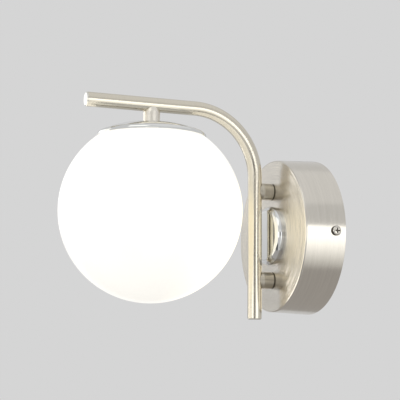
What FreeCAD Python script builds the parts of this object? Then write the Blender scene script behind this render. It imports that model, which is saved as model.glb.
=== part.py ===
# Globe wall sconce: round canopy, bent tube arm, opal globe hanging under a domed cap.
# Millimetres. The wall is the plane Y = 0, the lamp stands out toward -Y, and +Z is up.
# The origin is the centre of the canopy's back. All wall pieces are drawn with their
# local Z as the distance from the wall, then turned into place.
import FreeCAD, Part
import math
import os

os.makedirs("parts", exist_ok=True)

V = FreeCAD.Vector

# General clearances
BRAZE_GAP = 0.1            # between a coped end and the tube it is brazed to
THREAD_GAP = 0.08          # radial, male thread to female thread
HOLE_GAP = 0.25            # radial, bolt or nipple in a plain hole
SLIP_GAP = 0.1             # radial, spigot in a bore
RUNNING_GAP = 0.3          # between shells that are drawn apart

# Arm tube
TUBE_DIA = 12.0
TUBE_WALL = 1.2
TUBE_FROM_WALL = 51.0      # axis of the upright
BAR_HEIGHT = 104.0         # axis of the bar above the canopy's centre
BEND_ABOVE_POST = 4.5      # upper post's edge to the start of the bend
BAR_REACH = 201.0          # wall to the bar's tip
TUBE_DROP = 70.5           # canopy's centre down to the tube's foot
WIRE_HOLE_DIA = 8.0

# Turned end caps of the tube
END_CAP_LENGTH = 1.2
END_CAP_BEVEL = 0.9
END_SPIGOT_LENGTH = 6.0

# Canopy
CANOPY_BACK_DIA = 131.0
CANOPY_FACE_DIA = 128.0
CANOPY_DEPTH = 35.5
CANOPY_SHEET = 1.2
CANOPY_EDGE_RADIUS = 1.5

# Round cover at the canopy's centre
COVER_DIA = 50.0
COVER_THICKNESS = 6.5
COVER_EDGE_RADIUS = 3.0
COVER_SHEET = 1.2
COVER_STUD_DIA = 5.0
COVER_STUD_TAIL = 2.0

# Coped ends of posts and neck: two tapered wings that hold the tube
COPE_SHORT = 2.4           # wings' tips to the tube's axis
COPE_TAPER = 1.5           # radial
COPE_TAPER_LENGTH = 4.0
FOOT_BEVEL = 0.4

# Posts between canopy and tube
POST_DIA = 14.0
POST_SPACING = 75.0
POST_BORE = 8.0
POST_THREAD_DEPTH = 7.0

# Threaded nipple, its nuts and washers
NIPPLE_DIA = 10.0
NIPPLE_BORE = 7.0
NIPPLE_TAIL = 1.5
NUT_FLATS = 14.0
NUT_THICKNESS = 3.0
WASHER_DIA = 16.0
WASHER_THICKNESS = 0.8
STUD_NUT_FLATS = 8.0
STUD_NUT_THICKNESS = 4.0
STUD_WASHER_DIA = 15.0

# Wall bracket
STRAP_WIDTH = 26.0
STRAP_SHEET = 2.0
STRAP_TAPER = 10.0
EAR_WIDTH = 20.0
EAR_DEPTH = 17.0
EAR_BEND_RADIUS = 2.0
EAR_CORNER = 4.0
CABLE_HOLE_DIA = 14.0
SLOT_SPACING = 60.0
SLOT_LENGTH = 12.0
SLOT_WIDTH = 4.5
TAB_WIDTH = 32.0
TAB_TOP = 33.0

# Canopy screws in the bracket's ears
SIDE_SCREW_DIA = 4.0
SIDE_SCREW_FROM_WALL = 9.0
SIDE_SCREW_LENGTH = 10.0
SIDE_HEAD_DIA = 8.0
SIDE_HEAD_HEIGHT = 2.4
RECESS_LENGTH = 4.2
RECESS_WIDTH = 1.0
RECESS_DEPTH = 1.3

# Earth screw on the bracket
EARTH_SCREW_DIA = 4.0
EARTH_HEAD_DIA = 8.0
EARTH_HEAD_HEIGHT = 2.4
EARTH_FROM_CENTRE = 15.5
EARTH_WASHER_DIA = 9.0
EARTH_WASHER_THICKNESS = 1.0

# Terminal block on the bracket's tab
POLE_PITCH = 10.0
POLE_COUNT = 3
BLOCK_BASE = 9.0
BLOCK_HEIGHT = 17.0        # along the wires
BLOCK_CENTRE = 22.0        # above the canopy's centre
TOWER_DIA = 7.0
TOWER_HEIGHT = 5.0
TOWER_SPACING = 9.0
SLEEVE_DIA = 5.0
SLEEVE_BORE = 3.4
SLEEVE_FROM_BASE = 4.5
TERMINAL_SCREW_DIA = 3.2
TERMINAL_SCREW_SUNK = 0.8  # below the tower's top
TERMINAL_SCREW_BITE = 0.9  # foot above the sleeve's axis
BLOCK_SCREW_DIA = 3.0
BLOCK_SCREW_HEAD = 5.0
BLOCK_SCREW_HEAD_HEIGHT = 1.8
SCREW_SLOT = 0.8
SCREW_SLOT_DEPTH = 0.9

# Screw heads: straight edge as a share of the height, flat crown as a share of the width
HEAD_EDGE_SHARE = 0.4
HEAD_FLAT_SHARE = 0.3

# Globe
GLOBE_DIA = 150.0
GLOBE_WALL = 2.6
GLOBE_FROM_WALL = 144.4
GLOBE_EDGE_RADIUS = 0.6

# Domed cap over the globe
CAP_DIA = 90.0
CAP_SHEET = 0.8
CAP_SAGITTA = 9.7
CAP_OVER_FLANGE = 1.25     # flange of the globe's ring up to the cap's outside
CAP_SEAT_DIA = 17.0
CAP_EDGE_RADIUS = 3.4
CAP_LIP_SHARE = 0.9        # most of the lip's height that the rounded edge may take

# Neck between bar and cap
NECK_DIA = 14.0
NECK_DROP = 15.3           # bar's axis down to the cap's seat
NECK_THREAD_DEPTH = 7.0

# Gallery under the cap, and the ring bonded into the globe's mouth
GALLERY_DIA = 60.0
GALLERY_SHEET = 1.2
GALLERY_DEPTH = 11.0
RING_WALL = 2.9
RING_FLANGE = 3.8
RING_FLANGE_THICKNESS = 1.0
RING_DEPTH = 9.0
MOUTH_GAP = 0.2
GASKET_THICKNESS = 0.6
GASKET_INSET = 0.8

# Lampholder for a 14 mm screw lamp
HOLDER_DIA = 28.0
HOLDER_WALL = 1.8
HOLDER_CAP_HEIGHT = 20.0
HOLDER_SHOULDER = 5.0
HOLDER_BOSS_DIA = 16.0
HOLDER_BOSS_DEPTH = 8.0
HOLDER_SKIRT = 27.0
HOLDER_SPIGOT = 6.0
HOLDER_MOUTH_DIA = 18.4
HOLDER_RIB_COUNT = 3
HOLDER_RIB_HEIGHT = 0.8
HOLDER_RIB_PITCH = 4.0
INSULATOR_THICKNESS = 5.0
INSERT_SHEET = 0.5
INSERT_LENGTH = 20.0
CONTACT_DIA = 6.0
CONTACT_THICKNESS = 1.2
CONTACT_TONGUE = 0.6
TERMINAL_LUG = 2.6

# Lamp
LAMP_THREAD_DIA = 13.9
LAMP_SHELL_LENGTH = 15.0
LAMP_TIP_DIA = 4.8
LAMP_TIP_FACE_DIA = 3.8
LAMP_TIP_HEIGHT = 1.2
LAMP_INSULATOR_HEIGHT = 3.0
LAMP_COLLAR_DIA = 16.6
LAMP_COLLAR_LENGTH = 5.0
LAMP_LENGTH = 78.0
LAMP_BALL_DIA = 45.0
LAMP_BALL_WALL = 1.0
LAMP_JOINT_DIA = 34.0
LAMP_SWELL = 2.0

# Lead from the terminal block to the lampholder
LEAD_DIA = 4.0
LEAD_CORNER = 6.0
LEAD_BLOCK_TURN = 5.0
LEAD_TAIL = 4.0

# Worked out from the sizes above
TUBE_R = TUBE_DIA / 2
TUBE_BORE_R = TUBE_R - TUBE_WALL
BEND_RADIUS = BAR_HEIGHT - POST_SPACING / 2 - POST_DIA / 2 - BEND_ABOVE_POST
CANOPY_BACK_R = CANOPY_BACK_DIA / 2
CANOPY_FACE_R = CANOPY_FACE_DIA / 2
CANOPY_INSIDE = CANOPY_DEPTH - CANOPY_SHEET
GLOBE_R = GLOBE_DIA / 2
GLOBE_INNER_R = GLOBE_R - GLOBE_WALL
GALLERY_R = GALLERY_DIA / 2
RING_BORE_R = GALLERY_R + THREAD_GAP
RING_R = RING_BORE_R + RING_WALL
MOUTH_R = RING_R + MOUTH_GAP
FLANGE_R = RING_R + RING_FLANGE
CAP_R = CAP_DIA / 2
CAP_INNER_R = CAP_R - CAP_SHEET
CAP_SPHERE_R = (CAP_R ** 2 + CAP_SAGITTA ** 2) / (2 * CAP_SAGITTA)

# Heights above the globe's centre: its mouth, the centre of the cap's dome, the cap's seat
MOUTH_RISE = math.sqrt(GLOBE_INNER_R ** 2 - MOUTH_R ** 2)
FLANGE_RISE = MOUTH_RISE + RING_FLANGE_THICKNESS
CAP_CENTRE_RISE = FLANGE_RISE + CAP_OVER_FLANGE - math.sqrt(CAP_SPHERE_R ** 2 - FLANGE_R ** 2)
CAP_SEAT_RISE = CAP_CENTRE_RISE + math.sqrt(CAP_SPHERE_R ** 2 - (CAP_SEAT_DIA / 2) ** 2)

# Heights above the canopy's centre
CAP_SEAT_Z = BAR_HEIGHT - NECK_DROP
GLOBE_HEIGHT = CAP_SEAT_Z - CAP_SEAT_RISE
MOUTH_TOP = GLOBE_HEIGHT + MOUTH_RISE


def globe_height_at(radius):
    """Height of the globe's outside at a distance from its upright axis."""
    return GLOBE_HEIGHT + math.sqrt(GLOBE_R ** 2 - radius ** 2)


CAP_LIP_OUTER_Z = globe_height_at(CAP_R) + RUNNING_GAP
CAP_LIP_INNER_Z = globe_height_at(CAP_INNER_R) + RUNNING_GAP
CAP_CENTRE_Z = GLOBE_HEIGHT + CAP_CENTRE_RISE
CAP_UNDER_Z = CAP_SEAT_Z - CAP_SHEET
GALLERY_TOP_Z = CAP_UNDER_Z - WASHER_THICKNESS - NUT_THICKNESS
HOLDER_TOP_Z = GALLERY_TOP_Z - GALLERY_SHEET
HOLDER_JOINT_Z = HOLDER_TOP_Z - HOLDER_CAP_HEIGHT
HOLDER_FOOT_Z = HOLDER_JOINT_Z - HOLDER_SKIRT
INSULATOR_Z = HOLDER_JOINT_Z - INSULATOR_THICKNESS / 2
INSERT_BORE_R = LAMP_THREAD_DIA / 2 + THREAD_GAP
CONTACT_Z = INSULATOR_Z - CONTACT_THICKNESS
LAMP_TOP_Z = CONTACT_Z
LAMP_SHELL_TOP_Z = LAMP_TOP_Z - LAMP_TIP_HEIGHT - LAMP_INSULATOR_HEIGHT
LAMP_SHELL_FOOT_Z = LAMP_SHELL_TOP_Z - LAMP_SHELL_LENGTH
LAMP_BALL_Z = LAMP_TOP_Z - LAMP_LENGTH + LAMP_BALL_DIA / 2
LAMP_JOINT_Z = LAMP_BALL_Z + math.sqrt((LAMP_BALL_DIA / 2) ** 2 - (LAMP_JOINT_DIA / 2) ** 2)
BLOCK_TOP = STRAP_SHEET + BLOCK_BASE


class Outline:
    """A closed half section: distance from the axis, and height along it."""

    def __init__(self, radius, height):
        self.start = V(radius, 0, height)
        self.here = self.start
        self.edges = []

    def line(self, radius, height):
        """Add a straight edge."""
        end = V(radius, 0, height)
        self.edges.append(Part.LineSegment(self.here, end).toShape())
        self.here = end
        return self

    def arc(self, middle, end):
        """Add an arc through a middle point."""
        last = V(end[0], 0, end[1])
        self.edges.append(Part.Arc(self.here, V(middle[0], 0, middle[1]), last).toShape())
        self.here = last
        return self

    def turned(self):
        """Close the outline and turn it round the local Z axis."""
        if self.here.distanceToPoint(self.start) > 1e-9:
            self.line(self.start.x, self.start.z)
        face = Part.Face(Part.Wire(self.edges))
        return face.revolve(V(0, 0, 0), V(0, 0, 1), 360)


def from_wall(shape, across=0.0, up=0.0):
    """Turn a piece drawn along local Z so that it stands out from the wall."""
    turned = shape.copy()
    turned.rotate(V(0, 0, 0), V(1, 0, 0), 90)
    turned.translate(V(across, 0, up))
    return turned


def on_globe_axis(shape):
    """Move a piece drawn round local Z to the globe's upright axis."""
    moved = shape.copy()
    moved.translate(V(0, -GLOBE_FROM_WALL, 0))
    return moved


def rod(radius, low, high):
    """A round bar along local Z."""
    return Part.makeCylinder(radius, high - low, V(0, 0, low))


def tube(radius, bore, low, high):
    """A round tube along local Z."""
    return rod(radius, low, high).cut(rod(bore, low, high))


def block(low, high):
    """A box between two opposite corners."""
    size = high - low
    return Part.makeBox(size.x, size.y, size.z, low)


def hexagon(flats, low, high):
    """A hexagonal prism along local Z."""
    corner = flats / math.sqrt(3)
    points = []
    for step in range(7):
        turn = math.radians(60 * step)
        points.append(V(corner * math.cos(turn), corner * math.sin(turn), low))
    return Part.Face(Part.makePolygon(points)).extrude(V(0, 0, high - low))


def round_edges_at(shape, radius, height):
    """The circular edges of a turned piece at one radius and height."""
    found = []
    for edge in shape.Edges:
        if edge.Degenerated:
            continue
        curve = edge.Curve
        if isinstance(curve, Part.Circle) and abs(curve.Radius - radius) < 1e-3:
            if abs(curve.Center.z - height) < 1e-3:
                found.append(edge)
    return found


def rounded(shape, fillet, radius, height):
    """Round the circular edge at one radius and height."""
    return shape.makeFillet(fillet, round_edges_at(shape, radius, height))


def canopy_radius(from_wall_mm):
    """Outside radius of the canopy's wall at a distance from the wall."""
    return CANOPY_BACK_R + (CANOPY_FACE_R - CANOPY_BACK_R) * from_wall_mm / CANOPY_DEPTH


def coped_rod(dia, bore, foot, axis, thread_depth):
    """A post from a threaded foot up to a tube that crosses it, its end tapered and coped."""
    radius = dia / 2
    tip = axis - COPE_SHORT
    body = Outline(0, foot).line(radius - FOOT_BEVEL, foot).line(radius, foot + FOOT_BEVEL)
    body.line(radius, tip - COPE_TAPER_LENGTH).line(radius - COPE_TAPER, tip).line(0, tip)
    saddle = Part.makeCylinder(TUBE_R + BRAZE_GAP, dia, V(0, -radius, axis), V(0, 1, 0))
    thread = rod(NIPPLE_DIA / 2 + THREAD_GAP, foot, foot + thread_depth)
    return body.turned().cut([saddle, rod(bore / 2, foot, axis), thread])


def nut(flats, thread_dia, low, thickness):
    """A hexagonal nut with chamfered corners."""
    prism = hexagon(flats, low, low + thickness)
    corner = flats / math.sqrt(3)
    chamfer = corner - flats / 2
    envelope = Outline(0, low).line(flats / 2, low).line(corner, low + chamfer)
    envelope.line(corner, low + thickness - chamfer).line(flats / 2, low + thickness)
    envelope.line(0, low + thickness)
    return prism.common(envelope.turned()).cut(rod(thread_dia / 2 + THREAD_GAP, low, low + thickness))


def pan_screw(dia, head_dia, head_height, seat, foot):
    """A screw whose crowned head stands above the seat height, with its shank down to the foot."""
    top = seat + head_height
    edge_z = seat + head_height * HEAD_EDGE_SHARE
    crown_r = head_dia / 2 * HEAD_FLAT_SHARE
    middle_r = crown_r + (head_dia / 2 - crown_r) * math.sin(math.radians(45))
    middle_z = edge_z + (top - edge_z) * math.sin(math.radians(45))
    head = Outline(0, seat).line(head_dia / 2, seat).line(head_dia / 2, edge_z)
    head.arc((middle_r, middle_z), (crown_r, top)).line(0, top)
    return head.turned().fuse(rod(dia / 2, foot, seat)).removeSplitter()


def slotted_screw(dia, head_dia, head_height, seat, foot):
    """A pan-head screw with a straight slot."""
    half = SCREW_SLOT / 2
    top = seat + head_height
    slot = block(V(-head_dia, -half, top - SCREW_SLOT_DEPTH), V(head_dia, half, top))
    return pan_screw(dia, head_dia, head_height, seat, foot).cut(slot)


# Wall bracket and what it carries

def ear_face_x():
    """Outer face of the bracket's ears, clear of the canopy's curved wall."""
    inner = canopy_radius(EAR_DEPTH) - CANOPY_SHEET
    return math.sqrt(inner ** 2 - (EAR_WIDTH / 2) ** 2) - RUNNING_GAP


def strap_outline():
    """The bracket's flat outline, with its terminal tab, from the room side."""
    end = ear_face_x()
    root = end - STRAP_SHEET - EAR_BEND_RADIUS
    ear = EAR_WIDTH / 2
    half = STRAP_WIDTH / 2
    tab = TAB_WIDTH / 2
    right = [(root - STRAP_TAPER, -half), (root, -ear), (end, -ear), (end, ear), (root, ear)]
    right += [(root - STRAP_TAPER, half), (tab, half), (tab, TAB_TOP)]
    left = [(-x, y) for x, y in reversed(right)]
    points = [V(x, y, 0) for x, y in right + left]
    points.append(points[0])
    return Part.Face(Part.makePolygon(points))


def slot_hole(centre_x):
    """A slot along X through the strap."""
    half = SLOT_WIDTH / 2
    reach = SLOT_LENGTH / 2 - half
    middle = block(V(centre_x - reach, -half, 0), V(centre_x + reach, half, STRAP_SHEET))
    ends = [Part.makeCylinder(half, STRAP_SHEET, V(centre_x + s * reach, 0, 0)) for s in (-1, 1)]
    return middle.fuse(ends)


def bent_strip():
    """The strap and both ears as one bent strip, as wide as the strap."""
    face = ear_face_x()
    half = STRAP_WIDTH / 2
    outer = block(V(-face, -half, 0), V(face, half, EAR_DEPTH))
    bends = [e for e in outer.Edges if abs(e.CenterOfMass.z) < 1e-6 and abs(e.CenterOfMass.y) < 1e-6]
    outer = outer.makeFillet(EAR_BEND_RADIUS + STRAP_SHEET, bends)
    inner = block(V(STRAP_SHEET - face, -half, STRAP_SHEET), V(face - STRAP_SHEET, half, EAR_DEPTH))
    bends = [e for e in inner.Edges if abs(e.CenterOfMass.z - STRAP_SHEET) < 1e-6
             and abs(e.CenterOfMass.y) < 1e-6]
    return outer.cut(inner.makeFillet(EAR_BEND_RADIUS, bends))


def wall_bracket():
    """Pressed strap with two ears for the canopy screws and a tab for the terminal block."""
    plan = strap_outline()
    strip = bent_strip().common(plan.extrude(V(0, 0, EAR_DEPTH)))
    tab = block(V(-TAB_WIDTH / 2, 0, 0), V(TAB_WIDTH / 2, TAB_TOP, STRAP_SHEET))
    body = strip.fuse(tab).removeSplitter()
    corners = [e for e in body.Edges if abs(e.CenterOfMass.z - EAR_DEPTH) < 1e-3
               and abs(abs(e.CenterOfMass.y) - EAR_WIDTH / 2) < 1e-3]
    body = body.makeFillet(EAR_CORNER, corners)
    cuts = [rod(CABLE_HOLE_DIA / 2, 0, STRAP_SHEET)]
    cuts += [slot_hole(s * SLOT_SPACING / 2) for s in (-1, 1)]
    earth_r = EARTH_SCREW_DIA / 2 + THREAD_GAP
    cuts.append(Part.makeCylinder(earth_r, STRAP_SHEET, V(EARTH_FROM_CENTRE, 0, 0)))
    fixing_r = BLOCK_SCREW_DIA / 2 + THREAD_GAP
    cuts += [Part.makeCylinder(fixing_r, STRAP_SHEET, V(x, BLOCK_CENTRE, 0)) for x in block_screw_places()]
    thread_r = SIDE_SCREW_DIA / 2 + THREAD_GAP
    start = V(-CANOPY_BACK_R, 0, SIDE_SCREW_FROM_WALL)
    cuts.append(Part.makeCylinder(thread_r, CANOPY_BACK_DIA, start, V(1, 0, 0)))
    return from_wall(body.cut(cuts))


def earth_screw():
    """Slotted earth screw in the strap."""
    seat = STRAP_SHEET + EARTH_WASHER_THICKNESS
    screw = slotted_screw(EARTH_SCREW_DIA, EARTH_HEAD_DIA, EARTH_HEAD_HEIGHT, seat, 0)
    return from_wall(screw, across=EARTH_FROM_CENTRE)


def earth_washer():
    """Cupped washer that holds the earth wire."""
    low = STRAP_SHEET
    ring = tube(EARTH_WASHER_DIA / 2, EARTH_SCREW_DIA / 2 + HOLE_GAP, low, low + EARTH_WASHER_THICKNESS)
    return from_wall(ring, across=EARTH_FROM_CENTRE)


def pole_places():
    """X of each pole of the terminal block."""
    first = -POLE_PITCH * (POLE_COUNT - 1) / 2
    return [first + POLE_PITCH * n for n in range(POLE_COUNT)]


def block_screw_places():
    """X of the fixing holes, between neighbouring poles."""
    poles = pole_places()
    return [(a + b) / 2 for a, b in zip(poles, poles[1:])]


def tower_places():
    """Centres of the screw towers, two on each pole."""
    return [(x, BLOCK_CENTRE + s * TOWER_SPACING / 2) for x in pole_places() for s in (-1, 1)]


def terminal_block():
    """Moulded block with a screw tower over each end of each pole."""
    half = POLE_PITCH * POLE_COUNT / 2
    low = V(-half, BLOCK_CENTRE - BLOCK_HEIGHT / 2, STRAP_SHEET)
    body = block(low, V(half, BLOCK_CENTRE + BLOCK_HEIGHT / 2, BLOCK_TOP))
    towers = []
    for x, y in tower_places():
        towers.append(Part.makeCylinder(TOWER_DIA / 2, TOWER_HEIGHT, V(x, y, BLOCK_TOP)))
    body = body.fuse(towers)
    cuts = []
    sleeve_z = STRAP_SHEET + SLEEVE_FROM_BASE
    for x in pole_places():
        start = V(x, BLOCK_CENTRE - BLOCK_HEIGHT / 2, sleeve_z)
        cuts.append(Part.makeCylinder(SLEEVE_DIA / 2 + THREAD_GAP, BLOCK_HEIGHT, start, V(0, 1, 0)))
    for x, y in tower_places():
        screw_r = TERMINAL_SCREW_DIA / 2 + THREAD_GAP
        cuts.append(Part.makeCylinder(screw_r, BLOCK_TOP + TOWER_HEIGHT - sleeve_z, V(x, y, sleeve_z)))
    for x in block_screw_places():
        hole_r = BLOCK_SCREW_DIA / 2 + THREAD_GAP
        cuts.append(Part.makeCylinder(hole_r, BLOCK_BASE, V(x, BLOCK_CENTRE, STRAP_SHEET)))
    return from_wall(body.cut(cuts))


def terminal_sleeves():
    """Brass sleeves that join the wires, one to a pole."""
    sleeves = []
    length = BLOCK_HEIGHT - 2 * THREAD_GAP
    sleeve_z = STRAP_SHEET + SLEEVE_FROM_BASE
    for x in pole_places():
        start = V(x, BLOCK_CENTRE - length / 2, sleeve_z)
        body = Part.makeCylinder(SLEEVE_DIA / 2, length, start, V(0, 1, 0))
        bore = Part.makeCylinder(SLEEVE_BORE / 2, length, start, V(0, 1, 0))
        holes = []
        for s in (-1, 1):
            place = V(x, BLOCK_CENTRE + s * TOWER_SPACING / 2, sleeve_z)
            holes.append(Part.makeCylinder(TERMINAL_SCREW_DIA / 2 + THREAD_GAP, SLEEVE_DIA, place))
        sleeves.append(body.cut([bore] + holes))
    return from_wall(Part.makeCompound(sleeves))


def terminal_screws():
    """Slotted clamping screws in the towers."""
    screws = []
    top = BLOCK_TOP + TOWER_HEIGHT - TERMINAL_SCREW_SUNK
    foot = STRAP_SHEET + SLEEVE_FROM_BASE + TERMINAL_SCREW_BITE
    half = SCREW_SLOT / 2
    reach = TERMINAL_SCREW_DIA
    slot = block(V(-reach, -half, top - SCREW_SLOT_DEPTH), V(reach, half, top))
    for x, y in tower_places():
        body = rod(TERMINAL_SCREW_DIA / 2, foot, top).cut(slot)
        body.translate(V(x, y, 0))
        screws.append(body)
    return from_wall(Part.makeCompound(screws))


def block_screws():
    """Screws that hold the terminal block to the tab."""
    screws = []
    for x in block_screw_places():
        screw = slotted_screw(BLOCK_SCREW_DIA, BLOCK_SCREW_HEAD, BLOCK_SCREW_HEAD_HEIGHT, BLOCK_TOP, 0)
        screw.translate(V(x, BLOCK_CENTRE, 0))
        screws.append(screw)
    return from_wall(Part.makeCompound(screws))


# Canopy and its fittings

def canopy():
    """Drawn cup, open at the wall, with holes for posts, cover stud and side screws."""
    outer = Outline(0, 0).line(CANOPY_BACK_R, 0).line(CANOPY_FACE_R, CANOPY_DEPTH).line(0, CANOPY_DEPTH)
    solid = rounded(outer.turned(), CANOPY_EDGE_RADIUS, CANOPY_FACE_R, CANOPY_DEPTH)
    inner_face_r = canopy_radius(CANOPY_INSIDE) - CANOPY_SHEET
    inner = Outline(0, 0).line(CANOPY_BACK_R - CANOPY_SHEET, 0)
    inner.line(inner_face_r, CANOPY_INSIDE).line(0, CANOPY_INSIDE)
    cuts = [inner.turned()]
    cuts.append(rod(COVER_STUD_DIA / 2 + HOLE_GAP, CANOPY_INSIDE, CANOPY_DEPTH))
    for side in (-1, 1):
        centre = V(0, side * POST_SPACING / 2, CANOPY_INSIDE)
        cuts.append(Part.makeCylinder(NIPPLE_DIA / 2 + HOLE_GAP, CANOPY_SHEET, centre))
    side_r = SIDE_SCREW_DIA / 2 + HOLE_GAP
    start = V(-CANOPY_BACK_R, 0, SIDE_SCREW_FROM_WALL)
    cuts.append(Part.makeCylinder(side_r, CANOPY_BACK_DIA, start, V(1, 0, 0)))
    return from_wall(solid.cut(cuts))


def side_screws():
    """Two cross-recessed screws through the canopy's wall into the bracket's ears."""
    screw = pan_screw(SIDE_SCREW_DIA, SIDE_HEAD_DIA, SIDE_HEAD_HEIGHT, 0, -SIDE_SCREW_LENGTH)
    long_half = RECESS_LENGTH / 2
    half = RECESS_WIDTH / 2
    floor = SIDE_HEAD_HEIGHT - RECESS_DEPTH
    cross = block(V(-long_half, -half, floor), V(long_half, half, SIDE_HEAD_HEIGHT))
    cross = cross.fuse(block(V(-half, -long_half, floor), V(half, long_half, SIDE_HEAD_HEIGHT)))
    screw = screw.cut(cross)
    screw.rotate(V(0, 0, 0), V(0, 1, 0), 90)
    seat = canopy_radius(SIDE_SCREW_FROM_WALL - SIDE_HEAD_DIA / 2)
    screw.translate(V(seat, -SIDE_SCREW_FROM_WALL, 0))
    return Part.makeCompound([screw, screw.mirror(V(0, 0, 0), V(1, 0, 0))])


def centre_cover():
    """Pressed round cover with a rolled edge and a stud through the canopy."""
    face = CANOPY_DEPTH + COVER_THICKNESS
    radius = COVER_DIA / 2
    outer = rounded(rod(radius, CANOPY_DEPTH, face), COVER_EDGE_RADIUS, radius, face)
    hollow_r = radius - COVER_SHEET
    hollow_top = face - COVER_SHEET
    hollow = rod(hollow_r, CANOPY_DEPTH, hollow_top)
    hollow = rounded(hollow, COVER_EDGE_RADIUS - COVER_SHEET, hollow_r, hollow_top)
    foot = CANOPY_INSIDE - WASHER_THICKNESS - STUD_NUT_THICKNESS - COVER_STUD_TAIL
    stud = rod(COVER_STUD_DIA / 2, foot, hollow_top)
    return from_wall(outer.cut(hollow).fuse(stud).removeSplitter())


def cover_washer():
    """Washer under the cover's nut, inside the canopy."""
    low = CANOPY_INSIDE - WASHER_THICKNESS
    return from_wall(tube(STUD_WASHER_DIA / 2, COVER_STUD_DIA / 2 + HOLE_GAP, low, CANOPY_INSIDE))


def cover_nut():
    """Nut on the cover's stud."""
    low = CANOPY_INSIDE - WASHER_THICKNESS - STUD_NUT_THICKNESS
    return from_wall(nut(STUD_NUT_FLATS, COVER_STUD_DIA, low, STUD_NUT_THICKNESS))


def arm_post(side):
    """Round post from the canopy to the tube, coped to the tube and bored for the wires."""
    post = coped_rod(POST_DIA, POST_BORE, CANOPY_DEPTH, TUBE_FROM_WALL, POST_THREAD_DEPTH)
    return from_wall(post, up=side * POST_SPACING / 2)


def post_nipples():
    """Threaded tubes that draw the posts to the canopy."""
    foot = CANOPY_INSIDE - WASHER_THICKNESS - NUT_THICKNESS - NIPPLE_TAIL
    nipple = tube(NIPPLE_DIA / 2, NIPPLE_BORE / 2, foot, CANOPY_DEPTH + POST_THREAD_DEPTH)
    return Part.makeCompound([from_wall(nipple, up=s * POST_SPACING / 2) for s in (1, -1)])


def post_washers():
    """Washers under the nipples' nuts."""
    low = CANOPY_INSIDE - WASHER_THICKNESS
    ring = tube(WASHER_DIA / 2, NIPPLE_DIA / 2 + HOLE_GAP, low, CANOPY_INSIDE)
    return Part.makeCompound([from_wall(ring, up=s * POST_SPACING / 2) for s in (1, -1)])


def post_nuts():
    """Nuts on the nipples, inside the canopy."""
    low = CANOPY_INSIDE - WASHER_THICKNESS - NUT_THICKNESS
    body = nut(NUT_FLATS, NIPPLE_DIA, low, NUT_THICKNESS)
    return Part.makeCompound([from_wall(body, up=s * POST_SPACING / 2) for s in (1, -1)])


# Arm

def arm_path(start_z, end_y):
    """Upright, bend and bar as one wire in the plane X = 0."""
    bend_low = V(0, -TUBE_FROM_WALL, BAR_HEIGHT - BEND_RADIUS)
    bend_high = V(0, -TUBE_FROM_WALL - BEND_RADIUS, BAR_HEIGHT)
    half_turn = math.radians(45)
    centre = V(0, bend_high.y, bend_low.z)
    middle = centre + V(0, BEND_RADIUS * math.cos(half_turn), BEND_RADIUS * math.sin(half_turn))
    edges = [
        Part.LineSegment(V(0, -TUBE_FROM_WALL, start_z), bend_low).toShape(),
        Part.Arc(bend_low, middle, bend_high).toShape(),
        Part.LineSegment(bend_high, V(0, end_y, BAR_HEIGHT)).toShape(),
    ]
    return Part.Wire(edges)


def swept(radius, path, start, direction):
    """A round section carried along a path."""
    ring = Part.Wire(Part.Circle(start, direction, radius).toShape())
    return path.makePipeShell([ring], True, False)


def arm_tube():
    """Bent tube, open at both ends, with holes for the wires at the posts and the neck."""
    start_z = END_CAP_LENGTH - TUBE_DROP
    end_y = END_CAP_LENGTH - BAR_REACH
    path = arm_path(start_z, end_y)
    start = V(0, -TUBE_FROM_WALL, start_z)
    body = swept(TUBE_R, path, start, V(0, 0, 1)).cut(swept(TUBE_BORE_R, path, start, V(0, 0, 1)))
    cuts = []
    for side in (-1, 1):
        centre = V(0, -TUBE_FROM_WALL, side * POST_SPACING / 2)
        cuts.append(Part.makeCylinder(WIRE_HOLE_DIA / 2, TUBE_DIA, centre, V(0, 1, 0)))
    neck_centre = V(0, -GLOBE_FROM_WALL, BAR_HEIGHT)
    cuts.append(Part.makeCylinder(WIRE_HOLE_DIA / 2, TUBE_DIA, neck_centre, V(0, 0, -1)))
    return body.cut(cuts)


def end_cap():
    """Turned cap with a bevelled edge and a spigot that enters the tube, drawn along local Z."""
    cap = Outline(0, 0).line(TUBE_R, 0).line(TUBE_R, END_CAP_LENGTH - END_CAP_BEVEL)
    cap.line(TUBE_R - END_CAP_BEVEL, END_CAP_LENGTH).line(0, END_CAP_LENGTH)
    spigot = rod(TUBE_BORE_R - SLIP_GAP, -END_SPIGOT_LENGTH, 0)
    return cap.turned().fuse(spigot).removeSplitter()


def tip_cap():
    """Cap at the bar's tip."""
    cap = from_wall(end_cap())
    cap.translate(V(0, END_CAP_LENGTH - BAR_REACH, BAR_HEIGHT))
    return cap


def foot_cap():
    """Cap at the tube's foot."""
    cap = end_cap()
    cap.rotate(V(0, 0, 0), V(1, 0, 0), 180)
    cap.translate(V(0, -TUBE_FROM_WALL, END_CAP_LENGTH - TUBE_DROP))
    return cap


# Neck and globe cap

def neck():
    """Short neck, coped to the bar and threaded below."""
    body = coped_rod(NECK_DIA, WIRE_HOLE_DIA, CAP_SEAT_Z, BAR_HEIGHT, NECK_THREAD_DEPTH)
    return on_globe_axis(body)


def neck_nipple():
    """Threaded tube from the neck, through cap and gallery, into the lampholder."""
    foot = HOLDER_TOP_Z - HOLDER_BOSS_DEPTH
    top = CAP_SEAT_Z + NECK_THREAD_DEPTH
    return on_globe_axis(tube(NIPPLE_DIA / 2, NIPPLE_BORE / 2, foot, top))


def cap_sphere_height(radius, sphere_r):
    """Height of the cap's dome, or of its underside, at a distance from its axis."""
    return CAP_CENTRE_Z + math.sqrt(sphere_r ** 2 - radius ** 2)


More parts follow.
